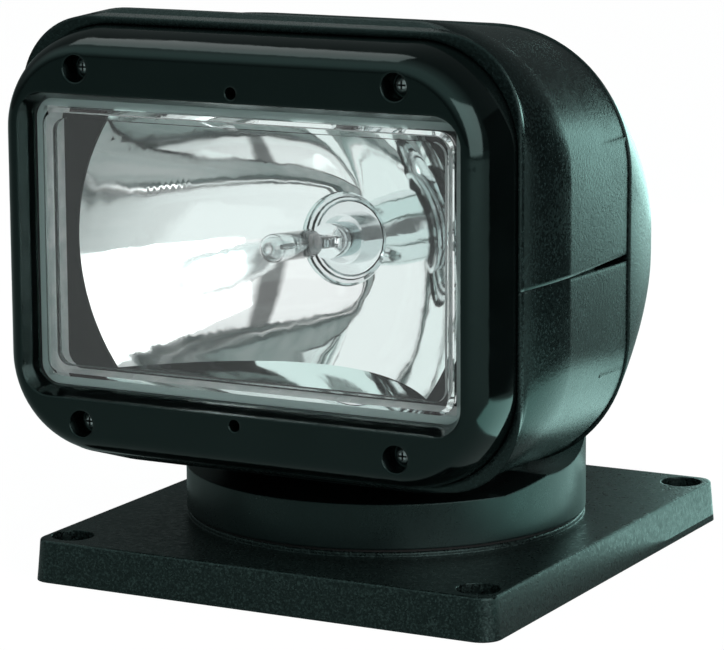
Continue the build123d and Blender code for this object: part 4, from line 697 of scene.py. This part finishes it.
# %%
# Floor
FLOOR_SIZE, PAGE_GLOW = 40, 0.975
bpy.ops.mesh.primitive_plane_add(size=FLOOR_SIZE, location=(0, 0, 0))
floor = bpy.context.object
floor.name = "floor"
floor.data.materials.append(bpy.data.materials.new("white studio paper"))
floor.active_material.use_nodes = True
tree = floor.active_material.node_tree
tree.nodes.clear()
path = add(tree, "ShaderNodeLightPath")
paper = add(tree, "ShaderNodeBsdfDiffuse", 0, {"Color": (0.46, 0.5, 0.49, 1)})
shadow = add(tree, "ShaderNodeBsdfDiffuse", 0, {"Color": (0.06, 0.06, 0.06, 1)})
bright = add(tree, "ShaderNodeEmission", 0, {"Color": (1, 1, 1, 1), "Strength": PAGE_GLOW})
shown = add(tree, "ShaderNodeAddShader", 0, {0: shadow, 1: bright})
glow = add(tree, "ShaderNodeEmission", 0, {"Color": srgb("f4fbfa"), "Strength": 1.0})
page = add(tree, "ShaderNodeMixShader", 0, {0: path.outputs["Is Transmission Ray"], 1: paper, 2: glow})
page = add(tree, "ShaderNodeMixShader", 0, {0: path.outputs["Is Camera Ray"], 1: page, 2: shown})
add(tree, "ShaderNodeOutputMaterial", None, {"Surface": page})
print("floor", floor.active_material.name)

# %% [markdown]
# Black plastic is seen by what it reflects. A large soft panel at the right front gives the bezel its
# long highlights. A low one at the right rear brings out the grain on the head's side. A small one
# lies on the table at the right and shows in the neck, and one high at the left lights the top. The
# rear one and the one on the table are a little cool, as those parts are in the photograph.

# %%
# Lamps


def spot(azimuth, distance, height):
    """Point at a compass direction from the lens side, seen from above."""
    turn = math.radians(azimuth)
    return Vector((math.sin(turn) * distance, -math.cos(turn) * distance, height))


def panel(name, place, size, glow, aim=(0, 0, 0.09), colour="ffffff"):
    """Soft rectangular light; glow is how bright it looks, whatever its size."""
    data = bpy.data.lights.new(name, "AREA")
    data.shape = "RECTANGLE"
    data.size, data.size_y = size
    data.energy = glow * math.pi * size[0] * size[1]
    data.color = srgb(colour)[:3]
    lamp = bpy.data.objects.new(name, data)
    scene.collection.objects.link(lamp)
    lamp.location = place
    lamp.rotation_euler = (Vector(aim) - place).to_track_quat("-Z", "Y").to_euler()
    lamp.visible_camera = False
    return lamp


COOL_LIGHT = "c8fbf4"
panel("right front", spot(64, 1.1, 0.52), (1.2, 1.0), 2.2)
panel("right rear", spot(166, 0.66, 0.13), (0.7, 0.25), 3.0, colour=COOL_LIGHT)
panel("right table", spot(109, 0.195, 0.002), (0.19, 0.28), 1.9, (0.184, 0.064, 1.0), COOL_LIGHT)
panel("overhead left", spot(-110, 0.45, 0.95), (0.45, 0.45), 1.1)

# %% [markdown]
# Between two lamps a photographer often stands a black card, called a flag. Glossy black then shows a
# clean dark zone beside each highlight, and its form can be read. This one keeps the bezel's side and
# the shoulder in front of the crease dark. The camera doesn't see it.

# %%
# Black card


def flag(name, azimuth, distance, wide, high):
    """Upright black card that faces the lamp."""
    bpy.ops.mesh.primitive_plane_add(size=1)
    card = bpy.context.object
    card.name = name
    card.scale = (wide, high, 1)
    card.location = spot(azimuth, distance, high / 2 + 0.001)
    towards = Vector((0, 0, 0)) - spot(azimuth, 1, 0)
    card.rotation_euler = towards.to_track_quat("Z", "Y").to_euler()
    card.data.materials.append(surface("black studio card", "050606", "030404", 30.0, (0.7, 0.8)))
    card.visible_camera = False
    return card


print("card", flag("right flag", 116, 0.36, 0.32, 0.3).name)

# %% [markdown]
# The room itself is the world. The camera sees it white. Gloss sees a dim room that gets brighter
# upwards and in front, as under a tent of cloth. The reflector, seen through the lens, is surrounded
# by white, but for a dark gap in front, where the camera stands. The bowl draws that gap out into
# dark streaks, and without them it would look like white plastic and not like a mirror.

# %%
# Room
GAP_AZIMUTH, GAP_HALF, GAP_SOFT, GAP_DARK = 25, 7, 2, 0.16
world = bpy.data.worlds.new("studio")
scene.world = world
world.use_nodes = True
tree = world.node_tree
tree.nodes.clear()
path = add(tree, "ShaderNodeLightPath")
aimed = add(tree, "ShaderNodeSeparateXYZ", None, {0: add(tree, "ShaderNodeTexCoord", "Generated")})
high = add(tree, "ShaderNodeMapRange", "Result", {"Value": aimed.outputs["Z"], "From Min": 0.1,
                                                  "From Max": 0.6})
ahead = add(tree, "ShaderNodeMapRange", "Result", {"Value": aimed.outputs["Y"], "From Min": -0.3,
                                                   "From Max": 0.3, "To Min": 1.0, "To Max": 0.0})
tent = add(tree, "ShaderNodeMath", 0, {0: high, 1: ahead}, operation="MULTIPLY")
dim = add(tree, "ShaderNodeMapRange", "Result", {"Value": tent, "To Min": 0.1, "To Max": 0.8})
room = add(tree, "ShaderNodeBackground", 0, {"Color": srgb("d9eeec"), "Strength": dim})
front = add(tree, "ShaderNodeMath", 0, {0: aimed.outputs["Y"], 1: -1.0}, operation="MULTIPLY")
bearing = add(tree, "ShaderNodeMath", 0, {0: aimed.outputs["X"], 1: front}, operation="ARCTAN2")
off = add(tree, "ShaderNodeMath", 0, {0: bearing, 1: math.radians(GAP_AZIMUTH)}, operation="SUBTRACT")
away = add(tree, "ShaderNodeMath", 0, {0: off}, operation="ABSOLUTE")
open_white = add(tree, "ShaderNodeMapRange", "Result", {"Value": away, "To Min": GAP_DARK, "To Max": 1.0,
                                                        "From Min": math.radians(GAP_HALF - GAP_SOFT),
                                                        "From Max": math.radians(GAP_HALF + GAP_SOFT)})
bright = add(tree, "ShaderNodeMath", 0, {0: open_white, 1: path.outputs["Is Camera Ray"]},
             operation="MAXIMUM")
white = add(tree, "ShaderNodeBackground", 0, {"Color": (1, 1, 1, 1), "Strength": bright})
seen = add(tree, "ShaderNodeMath", 0, {0: path.outputs["Is Camera Ray"],
                                       1: path.outputs["Is Transmission Ray"]}, operation="MAXIMUM")
both = add(tree, "ShaderNodeMixShader", 0, {0: seen, 1: room, 2: white})
add(tree, "ShaderNodeOutputWorld", None, {"Surface": both})
print("dark gap at", GAP_AZIMUTH, "degrees,", 2 * GAP_HALF, "wide")
